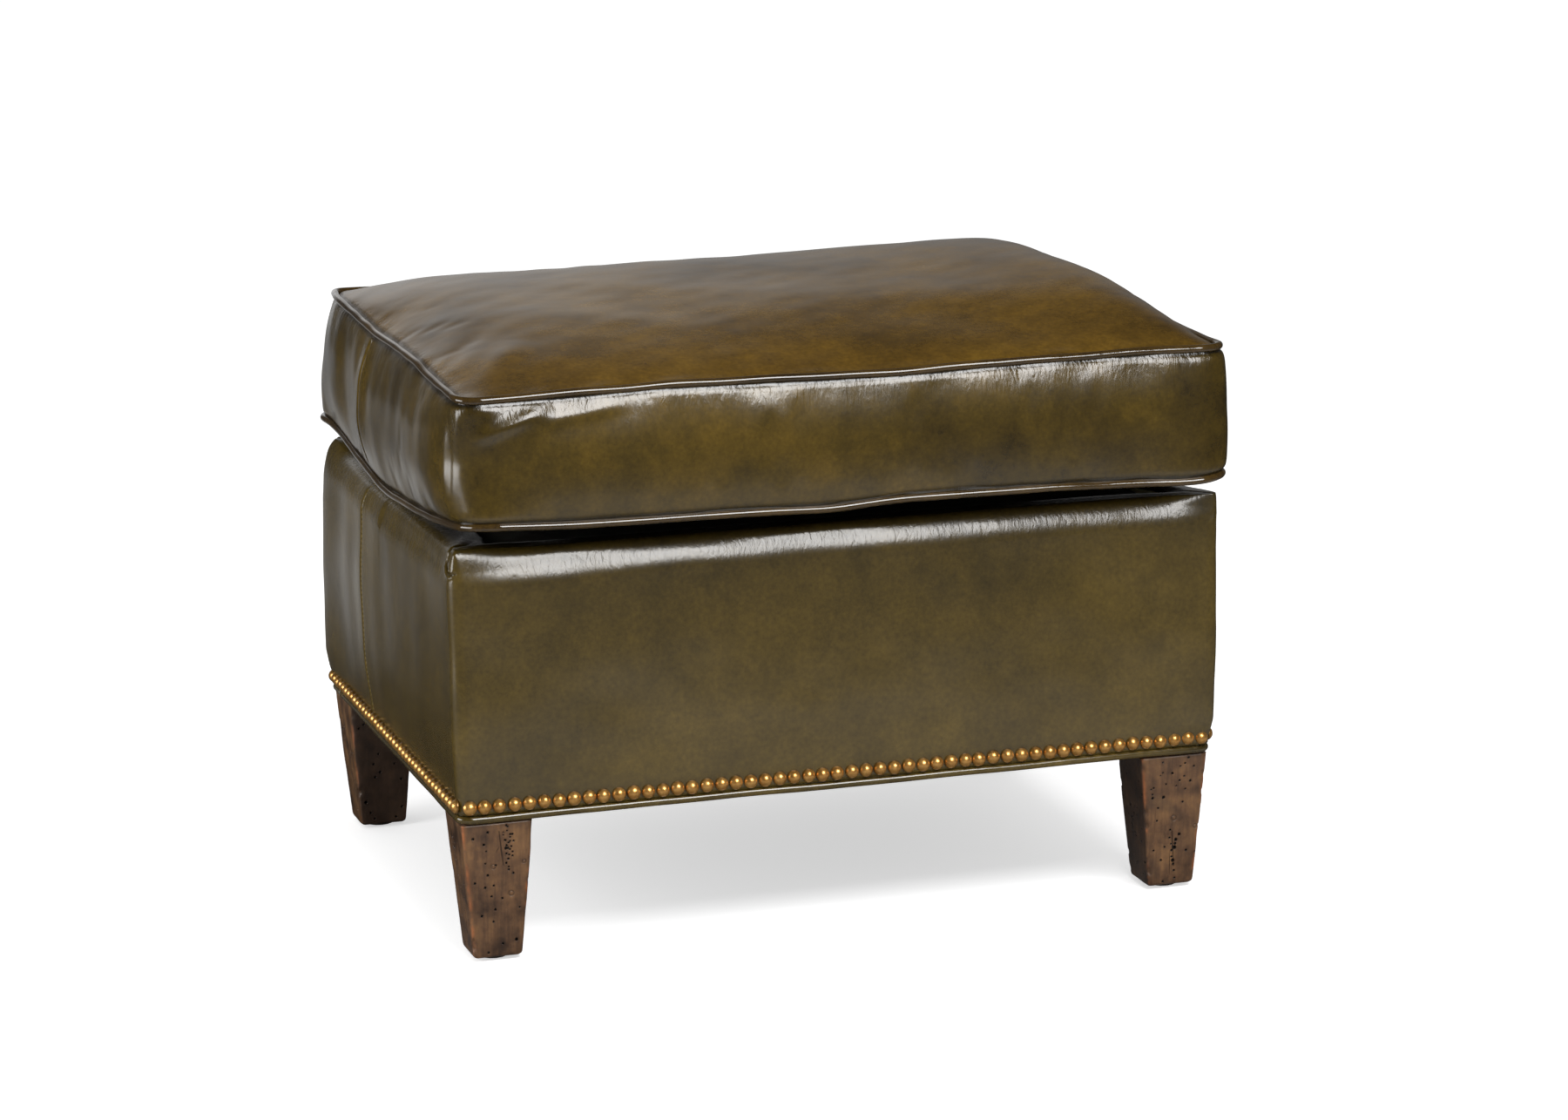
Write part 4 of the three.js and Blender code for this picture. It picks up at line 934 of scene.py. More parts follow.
def cushion_form():
    """The cushion's closed surface: points, faces, each face's panel, and the rims."""
    outline = (CUSHION_X, CUSHION_Y, CUSHION_MID_Y)
    top, low = panel_grid(0.018, -0.001), panel_grid(0.030, 0.006)
    top = push_corners(top.reshape(-1, 2), *outline, TOP_PUSH).reshape(top.shape)
    low = push_corners(low.reshape(-1, 2), *outline, LOW_PUSH).reshape(low.shape)
    top_rim = np.array([top[s] for s in rim_spots()])
    low_rim = np.array([low[s] for s in rim_spots()])
    top_z = rim_height(top_rim, (TOP_FRONT, TOP_RIGHT, TOP_BACK, TOP_LEFT))
    low_z = rim_height(low_rim, (LOW_FRONT, LOW_RIGHT, LOW_BACK, LOW_LEFT))
    # The crown leans up to the back and the right, and stands high at the right edge
    x, y = top[..., 0], top[..., 1]
    lean = 0.978 + 0.111 * (x / CUSHION_X) + 0.158 * ((y - CUSHION_MID_Y) / CUSHION_Y)
    spot = np.exp(-(((x - 0.33) / 0.094) ** 2) - ((y + 0.099) / 0.30) ** 2)
    shoulder = 0.0120 * spot * crown(x, y, 16, 16)
    over = relax_rim(top, top_z) + 0.93 * TOP_CROWN * lean * crown(x, y, 11, 3.2) + shoulder
    under = relax_rim(low, low_z) - LOW_CROWN * crown(low[..., 0], low[..., 1], 5, 5)
    under = np.maximum(under, DECK_TOP + DECK_ROOM)
    points = [np.dstack([top, over]).reshape(-1, 3), np.dstack([low, under]).reshape(-1, 3)]
    faces, panels, (rim_top, rim_low) = grid_shell()
    # The band, in rows from the lower welt to the upper one
    high = np.column_stack([top_rim, top_z])
    deep = np.column_stack([low_rim, low_z])
    out = np.roll(low_rim, -1, axis=0) - np.roll(low_rim, 1, axis=0)
    out = np.column_stack([out[:, 1], -out[:, 0]])
    out /= np.linalg.norm(out, axis=1)[:, None]
    inset_x = CUSHION_X - np.abs(low_rim[:, 0])
    inset_y = CUSHION_Y - np.abs(low_rim[:, 1] - CUSHION_MID_Y)
    middle = step(np.maximum(inset_x, inset_y), 0.0, 0.11)
    facing = out[:, 0] ** 2
    bulge = hump(low_rim[:, 1] + 0.205, 0.050) * (low_rim[:, 0] < -0.3)
    loops, count = [rim_low], len(high)
    for row in range(1, BAND_ROWS):
        share = row / BAND_ROWS
        rounding = min(1, math.sin(math.pi * min(share, 0.5) / 0.8))
        rounding *= 1 - max(0, (share - 0.60) / 0.40) ** 2
        quick = min(1, share / 0.06, (1 - share) / 0.06)
        corner = np.where(low_rim[:, 1] < 0, 0.0038 * quick, 0.0030 * rounding) * (1 - middle)
        swell = corner + 0.0074 * rounding * middle + 0.0040 * rounding * facing
        swell += 0.0035 * rounding * bulge * facing
        level = deep * (1 - share) + high * share
        level[:, :2] += out * swell[:, None]
        pushes = {key: push * math.sin(math.pi * share) for key, push in MID_PUSH.items()}
        level[:, :2] = push_corners(level[:, :2], *outline, pushes, 0.034)
        start = sum(map(len, points))
        loops.append(range(start, start + count))
        points.append(level)
    loops.append(rim_top)
    for below, above in zip(loops, loops[1:]):
        for i in range(count):
            j = (i + 1) % count
            faces.append((below[i], below[j], above[j], above[i]))
            panels.append(BAND)
    return np.vstack(points), faces, panels, rim_top, rim_low


def inflate(thing, held, pressure, steps, cap, surplus):
    """Blows a closed mesh up as cloth, with some points held, and caps how far it goes."""
    start = places_of(thing)
    group = thing.vertex_groups.new(name="held")
    group.add([int(i) for i in held], 1.0, "REPLACE")
    cloth = thing.modifiers.new("cloth", "CLOTH")
    leather = {
        "quality": 6,
        "mass": 0.35,
        "tension_stiffness": 22,
        "compression_stiffness": 22,
        "shear_stiffness": 8,
        "bending_stiffness": 1.6,
        "use_pressure": True,
        "uniform_pressure_force": pressure,
        "shrink_min": -surplus,
        "vertex_group_mass": "held",
    }
    for key, value in leather.items():
        setattr(cloth.settings, key, value)
    cloth.settings.effector_weights.gravity = 0
    cloth.collision_settings.use_collision = False
    cloth.point_cache.frame_start, cloth.point_cache.frame_end = 1, steps
    for number in range(1, steps + 1):
        scene.frame_set(number)
    settle(thing)
    scene.frame_set(1)
    thing.vertex_groups.clear()
    moved = places_of(thing) - start
    length = np.linalg.norm(moved, axis=1)
    share = np.tanh(length / cap) * cap / np.maximum(length, 1e-9)
    return start + moved * share[:, None], length.max()


def make_cushion():
    """The cushion's leather and welts. Returns the shell that its filling stays in."""
    points, faces, panels, rim_top, rim_low = cushion_form()
    form = bare_object("cushion_form", points, faces, LEATHER, smooth=True)
    points, reach = inflate(
        form, rim_top + rim_low, pressure=4.0, steps=20, cap=0.0024, surplus=0.0008
    )
    print("cushion swelled by", round(float(reach), 4))
    count = (COLUMNS + 1) * (ROWS + 1)
    low = points[count : 2 * count]
    low[:, 2] = np.maximum(low[:, 2], DECK_TOP + DECK_ROOM)
    move_points(form, points)
    edges = form.data.attributes.new("crease_edge", "FLOAT", "EDGE")
    rims = set(rim_top), set(rim_low)
    for edge in form.data.edges:
        a, b = edge.vertices
        if any(a in rim and b in rim for rim in rims):
            edges.data[edge.index].value = 1.0
    tag = form.data.attributes.new("panel", "INT", "FACE")
    tag.data.foreach_set("value", np.array(panels, np.int32))
    smooth = form.modifiers.new("smooth", "SUBSURF")
    smooth.levels = smooth.render_levels = 2
    settle(form)
    shell = split_cushion(form, (points[rim_top], points[rim_low]))
    bpy.data.objects.remove(form)
    return shell


def split_cushion(form, rims):
    """Cuts the cushion's surface into its panels and sews the welts on."""
    mesh = open_mesh(form.data)
    tag = mesh.faces.layers.int["panel"]
    for offset in SEAM_CUTS:
        at_seam = (0, CUSHION_SEAM_Y + offset, 0)
        cut_band(mesh, tag, at_seam, (0, 1, 0), lambda c: abs(c.x) > 0.3)
    for sign in (-1, 1):
        at_slot = (0, 0, ZIP_Z + sign * SLOT_Z)
        cut_band(mesh, tag, at_slot, (0, 0, 1), lambda c: c.y > REAR_Y and abs(c.x) < 0.275)
        at_end = (sign * SLOT_X, 0, 0)
        cut_band(mesh, tag, at_end, (1, 0, 0), lambda c: c.y > REAR_Y and abs(c.z - ZIP_Z) < 0.012)

    def in_slot(c):
        return c.y > REAR_Y and abs(c.z - ZIP_Z) < SLOT_Z and abs(c.x) < SLOT_X

    slot = [f for f in mesh.faces if f[tag] == BAND and in_slot(f.calc_center_median())]
    bmesh.ops.delete(mesh, geom=slot, context="FACES")
    mesh.verts.ensure_lookup_table()
    mesh.faces.ensure_lookup_table()
    mesh.normal_update()
    places = np.array([v.co for v in mesh.verts])
    normals = np.array([v.normal for v in mesh.verts])
    faces = [[v.index for v in f.verts] for f in mesh.faces]
    centres = np.array([f.calc_center_median() for f in mesh.faces])
    panel = np.array([f[tag] for f in mesh.faces])
    mesh.free()
    panel[(panel == BAND) & (centres[:, 1] > CUSHION_SEAM_Y)] = REAR_BAND

    places = shape_leather(places, normals, rims)
    x, y, z = np.abs(places[:, 0]), places[:, 1], np.abs(places[:, 2] - ZIP_Z)
    flat = step(x, 0.245, 0.258) * (1 - step(x, 0.288, 0.304)) * (1 - step(z, 0.008, 0.022))
    places[:, 1] -= flat * np.maximum(y - FLAT_Y, 0) * (y > REAR_Y)
    rim = rim_mark(places)
    # Painted shade in the crevice beside each welt, and painted shade all over the bottom panel,
    # which lies under the cushion
    dark = hump(seam_gap(places, rims), 0.0026, 0.0036)
    for number, name, node, look, shade in (
        (TOP, "cushion_top_leather", "cushion_top_panel", TOP_LEATHER, 0),
        (BOTTOM, "cushion_bottom_leather", "cushion_bottom_panel", LEATHER, 0.8),
        (BAND, "cushion_band_leather_front", "cushion_band_front", LEATHER, 0),
        (REAR_BAND, "cushion_band_leather_rear", "cushion_band_rear", LEATHER, 0),
    ):
        marks = {"rim": rim, "dark": np.maximum(dark, shade)}
        cut_out(name, places, faces, panel == number, look, "cushion", node, marks)
    for side, loop in zip(("top", "bottom"), rims):
        path = finer(loop, 4)
        thick = WELT * (1 + 0.025 * drift(path, 0.03, 5))
        path[:, 2] += 0.0004 * drift(path, 0.05, 8)
        points, tube = tube_along(path, thick)
        name, nodes = f"cushion_piping_{side}", [f"cushion_welt_{side}"]
        piece(name, points, tube, WELT_LEATHER, "cushion", nodes)
    return Shell(places, faces)


def cut_band(mesh, tag, at, normal, keep):
    """Cuts the band's faces that keep allows with a plane, leaving both halves."""
    chosen = [f for f in mesh.faces if f[tag] == BAND and keep(f.calc_center_median())]
    geometry = {g for f in chosen for g in (*f.verts, *f.edges)}
    bmesh.ops.bisect_plane(
        mesh, geom=[*chosen, *geometry], plane_co=at, plane_no=normal, dist=1e-6
    )


# Folds pulled from the welts, in tenths of a millimetre: ends (x, y, z), height out of
# the surface and width
FOLDS = [
    ((-3180, -2660, 4440), (-2550, -2680, 4680), 22, 60),
    ((-3000, -2680, 4520), (-1800, -2700, 4690), 12, 70),
    ((-3260, -2560, 4660), (-3310, -2500, 4000), 18, 32),
    ((-3220, -2620, 4600), (-3250, -2600, 4100), -12, 26),
    ((-3290, -2440, 4600), (-3320, -2400, 3900), -10, 40),
    ((3220, -2620, 4640), (3280, -2580, 4100), 14, 36),
    ((3000, -2660, 4700), (3220, -2620, 4350), 10, 50),
    ((-3290, 480, 4700), (-3330, 480, 3850), 34, 170),
    ((-3290, 1280, 4700), (-3330, 1220, 3900), -44, 340),
    ((-3000, -2680, 4700), (-2000, -2680, 4730), -10, 60),
    ((3290, 1280, 4700), (3330, 1220, 3900), -30, 340),
    ((-2500, -1500, 5000), (-3000, -2350, 4830), 16, 140),
    ((-2700, -1000, 5000), (-3120, -1600, 4840), -10, 110),
]


def seam_gap(places, rims):
    """The distance from each place to the nearest of the welts."""
    paths = np.vstack([finer(rim, 4) for rim in rims])
    tree = KDTree(len(paths))
    for i, spot in enumerate(paths):
        tree.insert(spot, i)
    tree.balance()
    return np.array([tree.find(spot)[2] for spot in places])


def shape_leather(places, normals, rims):
    """Seams, puckers and the slight unevenness that the simulation leaves out."""
    x, y, z = places.T
    on_band = (np.abs(x) > CUSHION_X - 0.012) & (z > CUSHION_LOW + 0.006) & (z < 0.478)
    lift = -0.0016 * (hump(y, 0.0022, CUSHION_SEAM_Y) * on_band)
    for fold in FOLDS:
        start, end, height, width = (np.array(part) / TENTHS for part in fold)
        share, away = along_line(places, start, end)
        taper = step(share, -0.25, 0.35) * (1 - step(share, 0.65, 1.25))
        lift += height * hump(away, width) * taper
    edge = rim_mark(places)
    lift -= 0.0011 * hump(seam_gap(places, rims), 0.0020, 0.0038)
    lift += 0.0005 * drift(places * [1, 1, 0.5], 0.030, 61) * (0.3 + edge)
    lift += 0.0009 * drift(places, 0.13, 62) * (1 - edge)
    return places + normals * lift[:, None]


def rim_mark(places):
    """How close each point is to a welt, from 0 to 1, for the wrinkles there."""
    x, y, z = places.T
    top = CUSHION_HIGH + BACK_RISE * (y + 0.26) / 0.52
    side = np.maximum(np.abs(x) - CUSHION_X, np.abs(y - CUSHION_MID_Y) - CUSHION_Y)
    side = step(side, -0.020, -0.003)
    below = np.exp(-np.maximum(top - z, 0) / 0.020) * side
    above = np.exp(-np.maximum(z - CUSHION_LOW, 0) / 0.010) * side * 0.4
    return np.clip(np.maximum(below, above), 0, 1)


# ---------------------------------------------------------------- the base

# How far each upright corner of the base stands out, by height: (height, push), in
# tenths of a millimetre
BASE_PUSH = {
    (-1, -1): [(1300, 0), (2000, 5), (3200, 15), (3450, 20)],
    (1, -1): [(1300, 15), (1500, 62), (2300, 90), (3000, 76), (3300, 82), (3450, 70)],
    (-1, 1): [(1300, 0), (1450, 50), (1600, 88), (1900, 98), (2400, 90), (3000, 68), (3450, 20)],
    (1, 1): [(1300, 0), (1600, 40), (2300, 60), (3100, 60), (3450, 20)],
}
# How much of the roll's rounding each top corner undoes, and how high it stands
EARS = {
    (-1, -1): (0.50, 0.003), (1, -1): (1.0, 0.0015), (-1, 1): (0.30, 0.010), (1, 1): (0.60, 0.006),
}
# The rounding of the leather over the roll, from ROLL_LOW up: angles at its start and
# end in degrees, length and rows. From there it runs in to DECK_INSET
ROLL_LOW, ROLL_ARCS = 0.3204, ((0, 15, 0.0085, 7), (15, 29, 0.0128, 10), (29, 90, 0.0112, 11))
WALL_ROWS, DECK_ROWS, DECK_INSET, DECK_DROP = 58, 10, 0.0478, 0.0042
# How far in from the side the roll's corners rise, and the rows at the top without a seam
EAR_REACH, ROWS_OVER_SEAM = 0.0140, 8
# How far apart the stitches of the side seams are, and half the size of each
STITCH_PITCH, STITCH = 0.0042, (0.00038, 0.00038, 0.00125, 1)
# How deep and how wide each nail presses the leather in
NAIL_DENT, NAIL_DENT_WIDTH = 0.0007, 0.0062
# The fold of the leather at the front left corner, from under the cushion to its hook,
# in tenths of a millimetre
CREASE = [
    (-2900, -1600, 3455), (-3062, -1931, 3455), (-3138, -2073, 3440), (-3200, -2135, 3417),
    (-3245, -2130, 3375), (-3270, -2140, 3345), (-3276, -2165, 3322), (-3283, -2213, 3297),
    (-3270, -2262, 3290), (-3244, -2282, 3307),
]


def away_from(path, points):
    """Distance to a path, how far along it the nearest place is, and on which side."""
    path = np.array(path) / TENTHS
    path = np.array([points[np.argmin(distance(points, spot))] for spot in path])
    best = np.full(len(points), 1.0)
    share, side = np.zeros(len(points)), np.zeros(len(points))
    for i, (start, end) in enumerate(zip(path, path[1:])):
        line = end - start
        t = np.clip((points - start) @ line / (line @ line), 0, 1)
        offset = points - (start + t[:, None] * line)
        away = np.linalg.norm(offset, axis=1)
        near = away < best
        best[near] = away[near]
        share[near] = (i + t[near]) / (len(path) - 1)
        side[near] = -offset[near, 0]
    return best, share, side


def base_levels():
    """The rows of the leather from its foot to the deck: (inset, height, how upright)."""
    levels = [(0.0, z, 1.0) for z in np.linspace(COVER_LOW, ROLL_LOW, WALL_ROWS)]
    inset, height = 0.0, ROLL_LOW
    for first, last, length, steps in ROLL_ARCS:
        for i in range(steps):
            angle = math.radians(first + (last - first) * (i + 0.5) / steps)
            inset += math.sin(angle) * length / steps
            height += math.cos(angle) * length / steps
            levels.append((inset, height, math.cos(angle)))
    for share in np.linspace(0, 1, DECK_ROWS + 1)[1:]:
        drop = DECK_DROP * max(0, (share - 0.45) / 0.55) ** 1.5
        levels.append((inset + (DECK_INSET - inset) * share, height - drop, 0.0))
    return levels


def base_surface():
    """The leather of the base, as a grid of points from its foot up and over the roll."""
    levels = base_levels()
    # Points lie closer together at the corners, and at the seam on each side
    front = spaced(2 * BASE_X, 0.0011, 0.0042, [0.0, 1.0], 0.022)
    side = spaced(2 * BASE_Y, 0.0011, 0.0042, [0.0, 1.0, 0.641], 0.020)
    other = spaced(2 * BASE_Y, 0.0011, 0.0042, [0.0, 1.0, 0.359], 0.020)
    shares = (front, side, front, other)
    rows = []
    for inset, z, stand in levels:
        half_x, half_y = BASE_X - inset, BASE_Y - inset
        rise = step(z, COVER_LOW, COVER_LOW + 0.075)
        fall = 1 - 0.35 * step(z, 0.24, 0.33)
        swell = rise * fall * stand
        corner = max(BASE_CORNER - 1.2 * inset, 0.0012)
        loop = ring(half_x, half_y, corner, shares, 0.0068 * swell, 0.0030 * swell)
        pushes = {key: np.interp(z, *np.array(line).T / TENTHS) for key, line in BASE_PUSH.items()}
        loop = push_corners(loop, half_x, half_y, 0, pushes, 0.05)
        bend = min(inset, EAR_REACH)
        heights = np.full(len(loop), z)
        for (sign_x, sign_y), (_, lift) in EARS.items():
            away = distance(loop, np.array([sign_x * half_x, sign_y * half_y]))
            heights += lift * bend / EAR_REACH * hump(away, 0.030)
        ears = {key: share * bend * math.sqrt(2) for key, (share, _) in EARS.items()}
        loop = push_corners(loop, half_x, half_y, 0, ears, 0.024)
        droop = step(-loop[:, 0], 0.10, 0.31) * (loop[:, 1] < 0) * step(z, 0.275, 0.315)
        heights -= 0.0050 * droop * (1 - step(z, 0.334, BASE_TOP))
        rows.append(np.column_stack([loop, heights]))
    points = np.vstack(rows)
    points[:, 1] += BASE_MID_Y
    return points, len(levels), len(rows[0])


def outward_at(points, rows, columns):
    """The outward way at each point of a closed grid, flat, from the loop it is on."""
    grid = points.reshape(rows, columns, 3)
    ahead = np.roll(grid, -1, axis=1) - np.roll(grid, 1, axis=1)
    out = np.dstack([ahead[..., 1], -ahead[..., 0]]).reshape(-1, 2)
    return out / np.maximum(np.linalg.norm(out, axis=1), 1e-9)[:, None]


def make_base():
    """The leather of the base, its welt and its stitches. Returns the shell that the
    padding stays in."""
    points, rows, columns = base_surface()
    x, y, z = points.T
    out = outward_at(points, rows, columns)
    # Soft unevenness of the padding
    soft = 0.0011 * drift(points, 0.16, 3) + 0.0003 * drift(points, 0.05, 4)
    hold = step(z, COVER_LOW + 0.01, COVER_LOW + 0.06) * (1 - 0.6 * step(z, 0.335, 0.345))
    sides = step(np.abs(out[:, 0]), 0.5, 0.9)
    soft += 0.0004 * sides * drift(points * [1, 1, 0.22], 0.060, 9)
    local_y = y - BASE_MID_Y
    points[:, :2] += out * (soft * hold)[:, None]
    # The seam on each side
    seam = hump(y, 0.0020, BASE_SEAM_Y) * (np.abs(x) > 0.2)
    sink = 0.0012 * seam * (1 - step(z, 0.3385, 0.3445))
    points[:, :2] -= out * sink[:, None]
    # The fold at each top corner, where the front and the side leather meet. The one at
    # the front left follows its own line
    inset_x, inset_y = BASE_X - np.abs(x), BASE_Y - np.abs(local_y)
    gap = (inset_x - inset_y) / math.sqrt(2)
    near = np.minimum(inset_x, inset_y)
    high = step(z, 0.3240, 0.3330) * (near < 0.06)
    other = np.where((x < 0) & (local_y < 0), 0, 1)
    groove = hump(gap, 0.0021) * high * other
    lip = hump(gap, 0.0038, 0.0050) * high * (1 - 0.5 * step(near, 0.01, 0.03)) * other
    crease, spread, side = away_from(CREASE, points)
    wide = np.interp(spread, [0, 0.55, 0.8, 1], [0.0034, 0.0020, 0.0013, 0.0009])
    groove += np.interp(spread, [0, 0.6, 0.85, 1], [1.6, 1.0, 0.55, 0.3]) * hump(crease, wide)
    lip += 0.8 * hump(crease, wide * 0.8, wide * 1.9) * (side > 0)
    inward = np.array([0, BASE_MID_Y, 0.26]) - points
    inward /= np.linalg.norm(inward, axis=1)[:, None]
    points += inward * (0.0046 * groove - 0.0016 * lip)[:, None]
    # Nails press the leather in
    for spot, way in nail_spots():
        points -= np.outer(NAIL_DENT * hump(distance(points, spot), NAIL_DENT_WIDTH), way)
    faces = grid_faces(rows, columns, closed=True)
    centres = np.array([points[list(f)].mean(axis=0) for f in faces])
    behind = centres[:, 1] > BASE_SEAM_Y
    # Painted shadow on the deck under the cushion, and painted shade in the folds at the top
    # corners and the crease at the front left
    inset = np.minimum(BASE_X - np.abs(points[:, 0]), BASE_Y - np.abs(points[:, 1] - BASE_MID_Y))
    dark = step(inset, 0.012, 0.022) * (points[:, 2] > 0.335)
    dark = np.maximum(dark, np.minimum(groove, 1) * 0.9)
    marks = {"rim": step(points[:, 2], 0.312, 0.330) * 0.55, "dark": dark}
    for name, chosen, node in (
        ("base_leather_front", ~behind, "cover_front_panel"),
        ("base_leather_rear", behind, "cover_rear_panel"),
    ):
        cut_out(name, points, faces, chosen, BASE_LEATHER, "base", node, marks)
    pipe_base()
    wall = points.reshape(rows, columns, 3)[: rows - ROWS_OVER_SEAM]
    for name, sign in (("stitches_left", -1), ("stitches_right", 1)):
        sew_side(name, sign, wall)
    return Shell(points, faces)


def pipe_base():
    """The welt at the foot of the leather, thicker where its ends are spliced."""
    shares = (even(220), even(166)) * 2
    path = ring(BASE_X - 0.002, BASE_Y - 0.002, BASE_CORNER - 0.002, shares)
    path[:, 1] += BASE_MID_Y
    path = finer(np.column_stack([path, np.full(len(path), BASE_WELT_Z)]), 2)
    path[:, 2] += 0.0004 * drift(path, 0.09, 21)
    splice = hump(path[:, 1], 0.004, 0.222) * (path[:, 0] < -0.3)
    thick = BASE_WELT * (1 + 0.02 * drift(path, 0.03, 22) + 0.14 * splice)
    points, faces = tube_along(path, thick)
    piece("base_piping", points, faces, BASE_WELT_LEATHER, "base", ["base_welt"])


def sew_side(name, sign, wall):
    """Short stitches of thread, slightly sunk, in front of the seam on one side."""
    line = []
    for row in wall:
        side = row[row[:, 0] * sign > 0.25]
        line.append(side[np.argmin(np.abs(side[:, 1] - (BASE_SEAM_Y - 0.0026)))])
    line = np.array(line) + [sign * 0.0001, 0, 0]
    along = np.concatenate([[0], np.cumsum(np.linalg.norm(np.diff(line, axis=0), axis=1))])

    def spot_at(at):
        return np.array([np.interp(at, along, line[:, k]) for k in range(3)])

    thread = bmesh.new()
    for at in np.arange(0.004, along[-1] - 0.002, STITCH_PITCH):
        spot = spot_at(at)
        turn = Vector(spot_at(at + 0.001) - spot).to_track_quat("Z", "Y").to_matrix().to_4x4()
        place = Matrix.Translation(spot) @ turn @ Matrix.Diagonal(STITCH)
        bmesh.ops.create_icosphere(thread, subdivisions=2, radius=1, matrix=place)
    stitches = finish_mesh(thread, name, THREAD)
    stitches.data.shade_smooth()
    dress(stitches, "base")


# ---------------------------------------------------------------- nails

# Half a row's length and its count of nails, along the front and back and along the sides
NAIL_ROWS = ((0.321, BASE_Y, 52, True), (0.239, BASE_X, 40, False))
# A nail's head from its top to its rim: (radius, height), and how much larger it is made
HEAD = [
    (0.0, 0.0037), (0.0010, 0.00362), (0.0020, 0.00340), (0.0029, 0.00302), (0.0037, 0.00250),
    (0.0044, 0.00186), (0.0050, 0.00112), (0.0054, 0.0003), (0.00555, -0.0004), (0.0053, -0.0010),
]
HEAD_WIDER, HEAD_HIGHER, HEAD_SIDES = 1.07, 1.15, 20
SIDE_OF = {(0, -1): "front", (0, 1): "back", (-1, 0): "left", (1, 0): "right"}


def nail_spots():
    """Where each nail sits on the leather, and the way it faces."""
    spots = []
    swell = 0.003 * math.sin(math.pi * (NAIL_Z - COVER_LOW) / (ROLL_MID - COVER_LOW))
    for half, depth, count, across in NAIL_ROWS:
        for along in np.linspace(-half, half, count):
            for sign in (-1, 1):
                if across:
                    spot = (along, BASE_MID_Y + sign * (depth + swell), NAIL_Z)
                    way = (0, sign, 0)
                else:
                    spot = (sign * (depth + swell), BASE_MID_Y + along, NAIL_Z)
                    way = (sign, 0, 0)
                spots.append((np.array(spot), np.array(way, float)))
    return spots


def make_nails():
    """Domed heads, each set a little differently and rubbed a little differently."""
    rng = np.random.default_rng(12)
    sides = HEAD_SIDES
    groups = {}
    for spot, way in nail_spots():
        groups.setdefault(SIDE_OF[int(way[0]), int(way[1])], []).append((spot, way))
    for name, members in groups.items():
        points, faces, grime_and_shade = [], [], []
        for spot, way in members:
            lean = rng.normal(0, 0.05, 2)
            shift = rng.normal(0, 0.00022, 2)
            across = np.array([-way[1], way[0], 0])
            up = np.array([0, 0, 1.0])
            axis = way + across * lean[0] + up * lean[1]
            axis /= np.linalg.norm(axis)
            across = np.cross(up, axis)
            across /= np.linalg.norm(across)
            up = np.cross(axis, across)
            centre = spot + across * shift[0] + up * shift[1] + axis * 0.0003
            size = rng.normal(1.0, 0.015)
            start = len(points)
            for row, (radius, height) in enumerate(HEAD):
                for k in range(sides if row else 1):
                    angle = k / sides * 2 * math.pi
                    bump = across * math.cos(angle) + up * math.sin(angle)
                    spread = bump * radius * HEAD_WIDER * size
                    points.append(centre + spread + axis * height * HEAD_HIGHER)
                    # A dark rim on each head where it meets the leather: partly grime, partly
                    # painted contact shade
                    grime_and_shade.append(0.6 * step(radius, 0.0050, 0.00555))
            for k in range(sides):
                faces.append((start, start + 1 + k, start + 1 + (k + 1) % sides))
            rings = grid_faces(len(HEAD) - 1, sides, closed=True)
            faces += [tuple(start + 1 + v for v in (a, d, c, b)) for a, b, c, d in rings]
            last = start + 1 + (len(HEAD) - 2) * sides
            faces.append(tuple(last + k for k in range(sides)))
        points, nodes, marks = np.array(points), [f"nail_row_{name}"], {"grime_and_shade": grime_and_shade}
        made = piece(
            f"nails_{name}", points, faces, BRASS, "base", nodes, marks=marks
        )
        mesh = open_mesh(made.data)
        bmesh.ops.recalc_face_normals(mesh, faces=mesh.faces)
        close_mesh(mesh, made.data)


# ---------------------------------------------------------------- legs

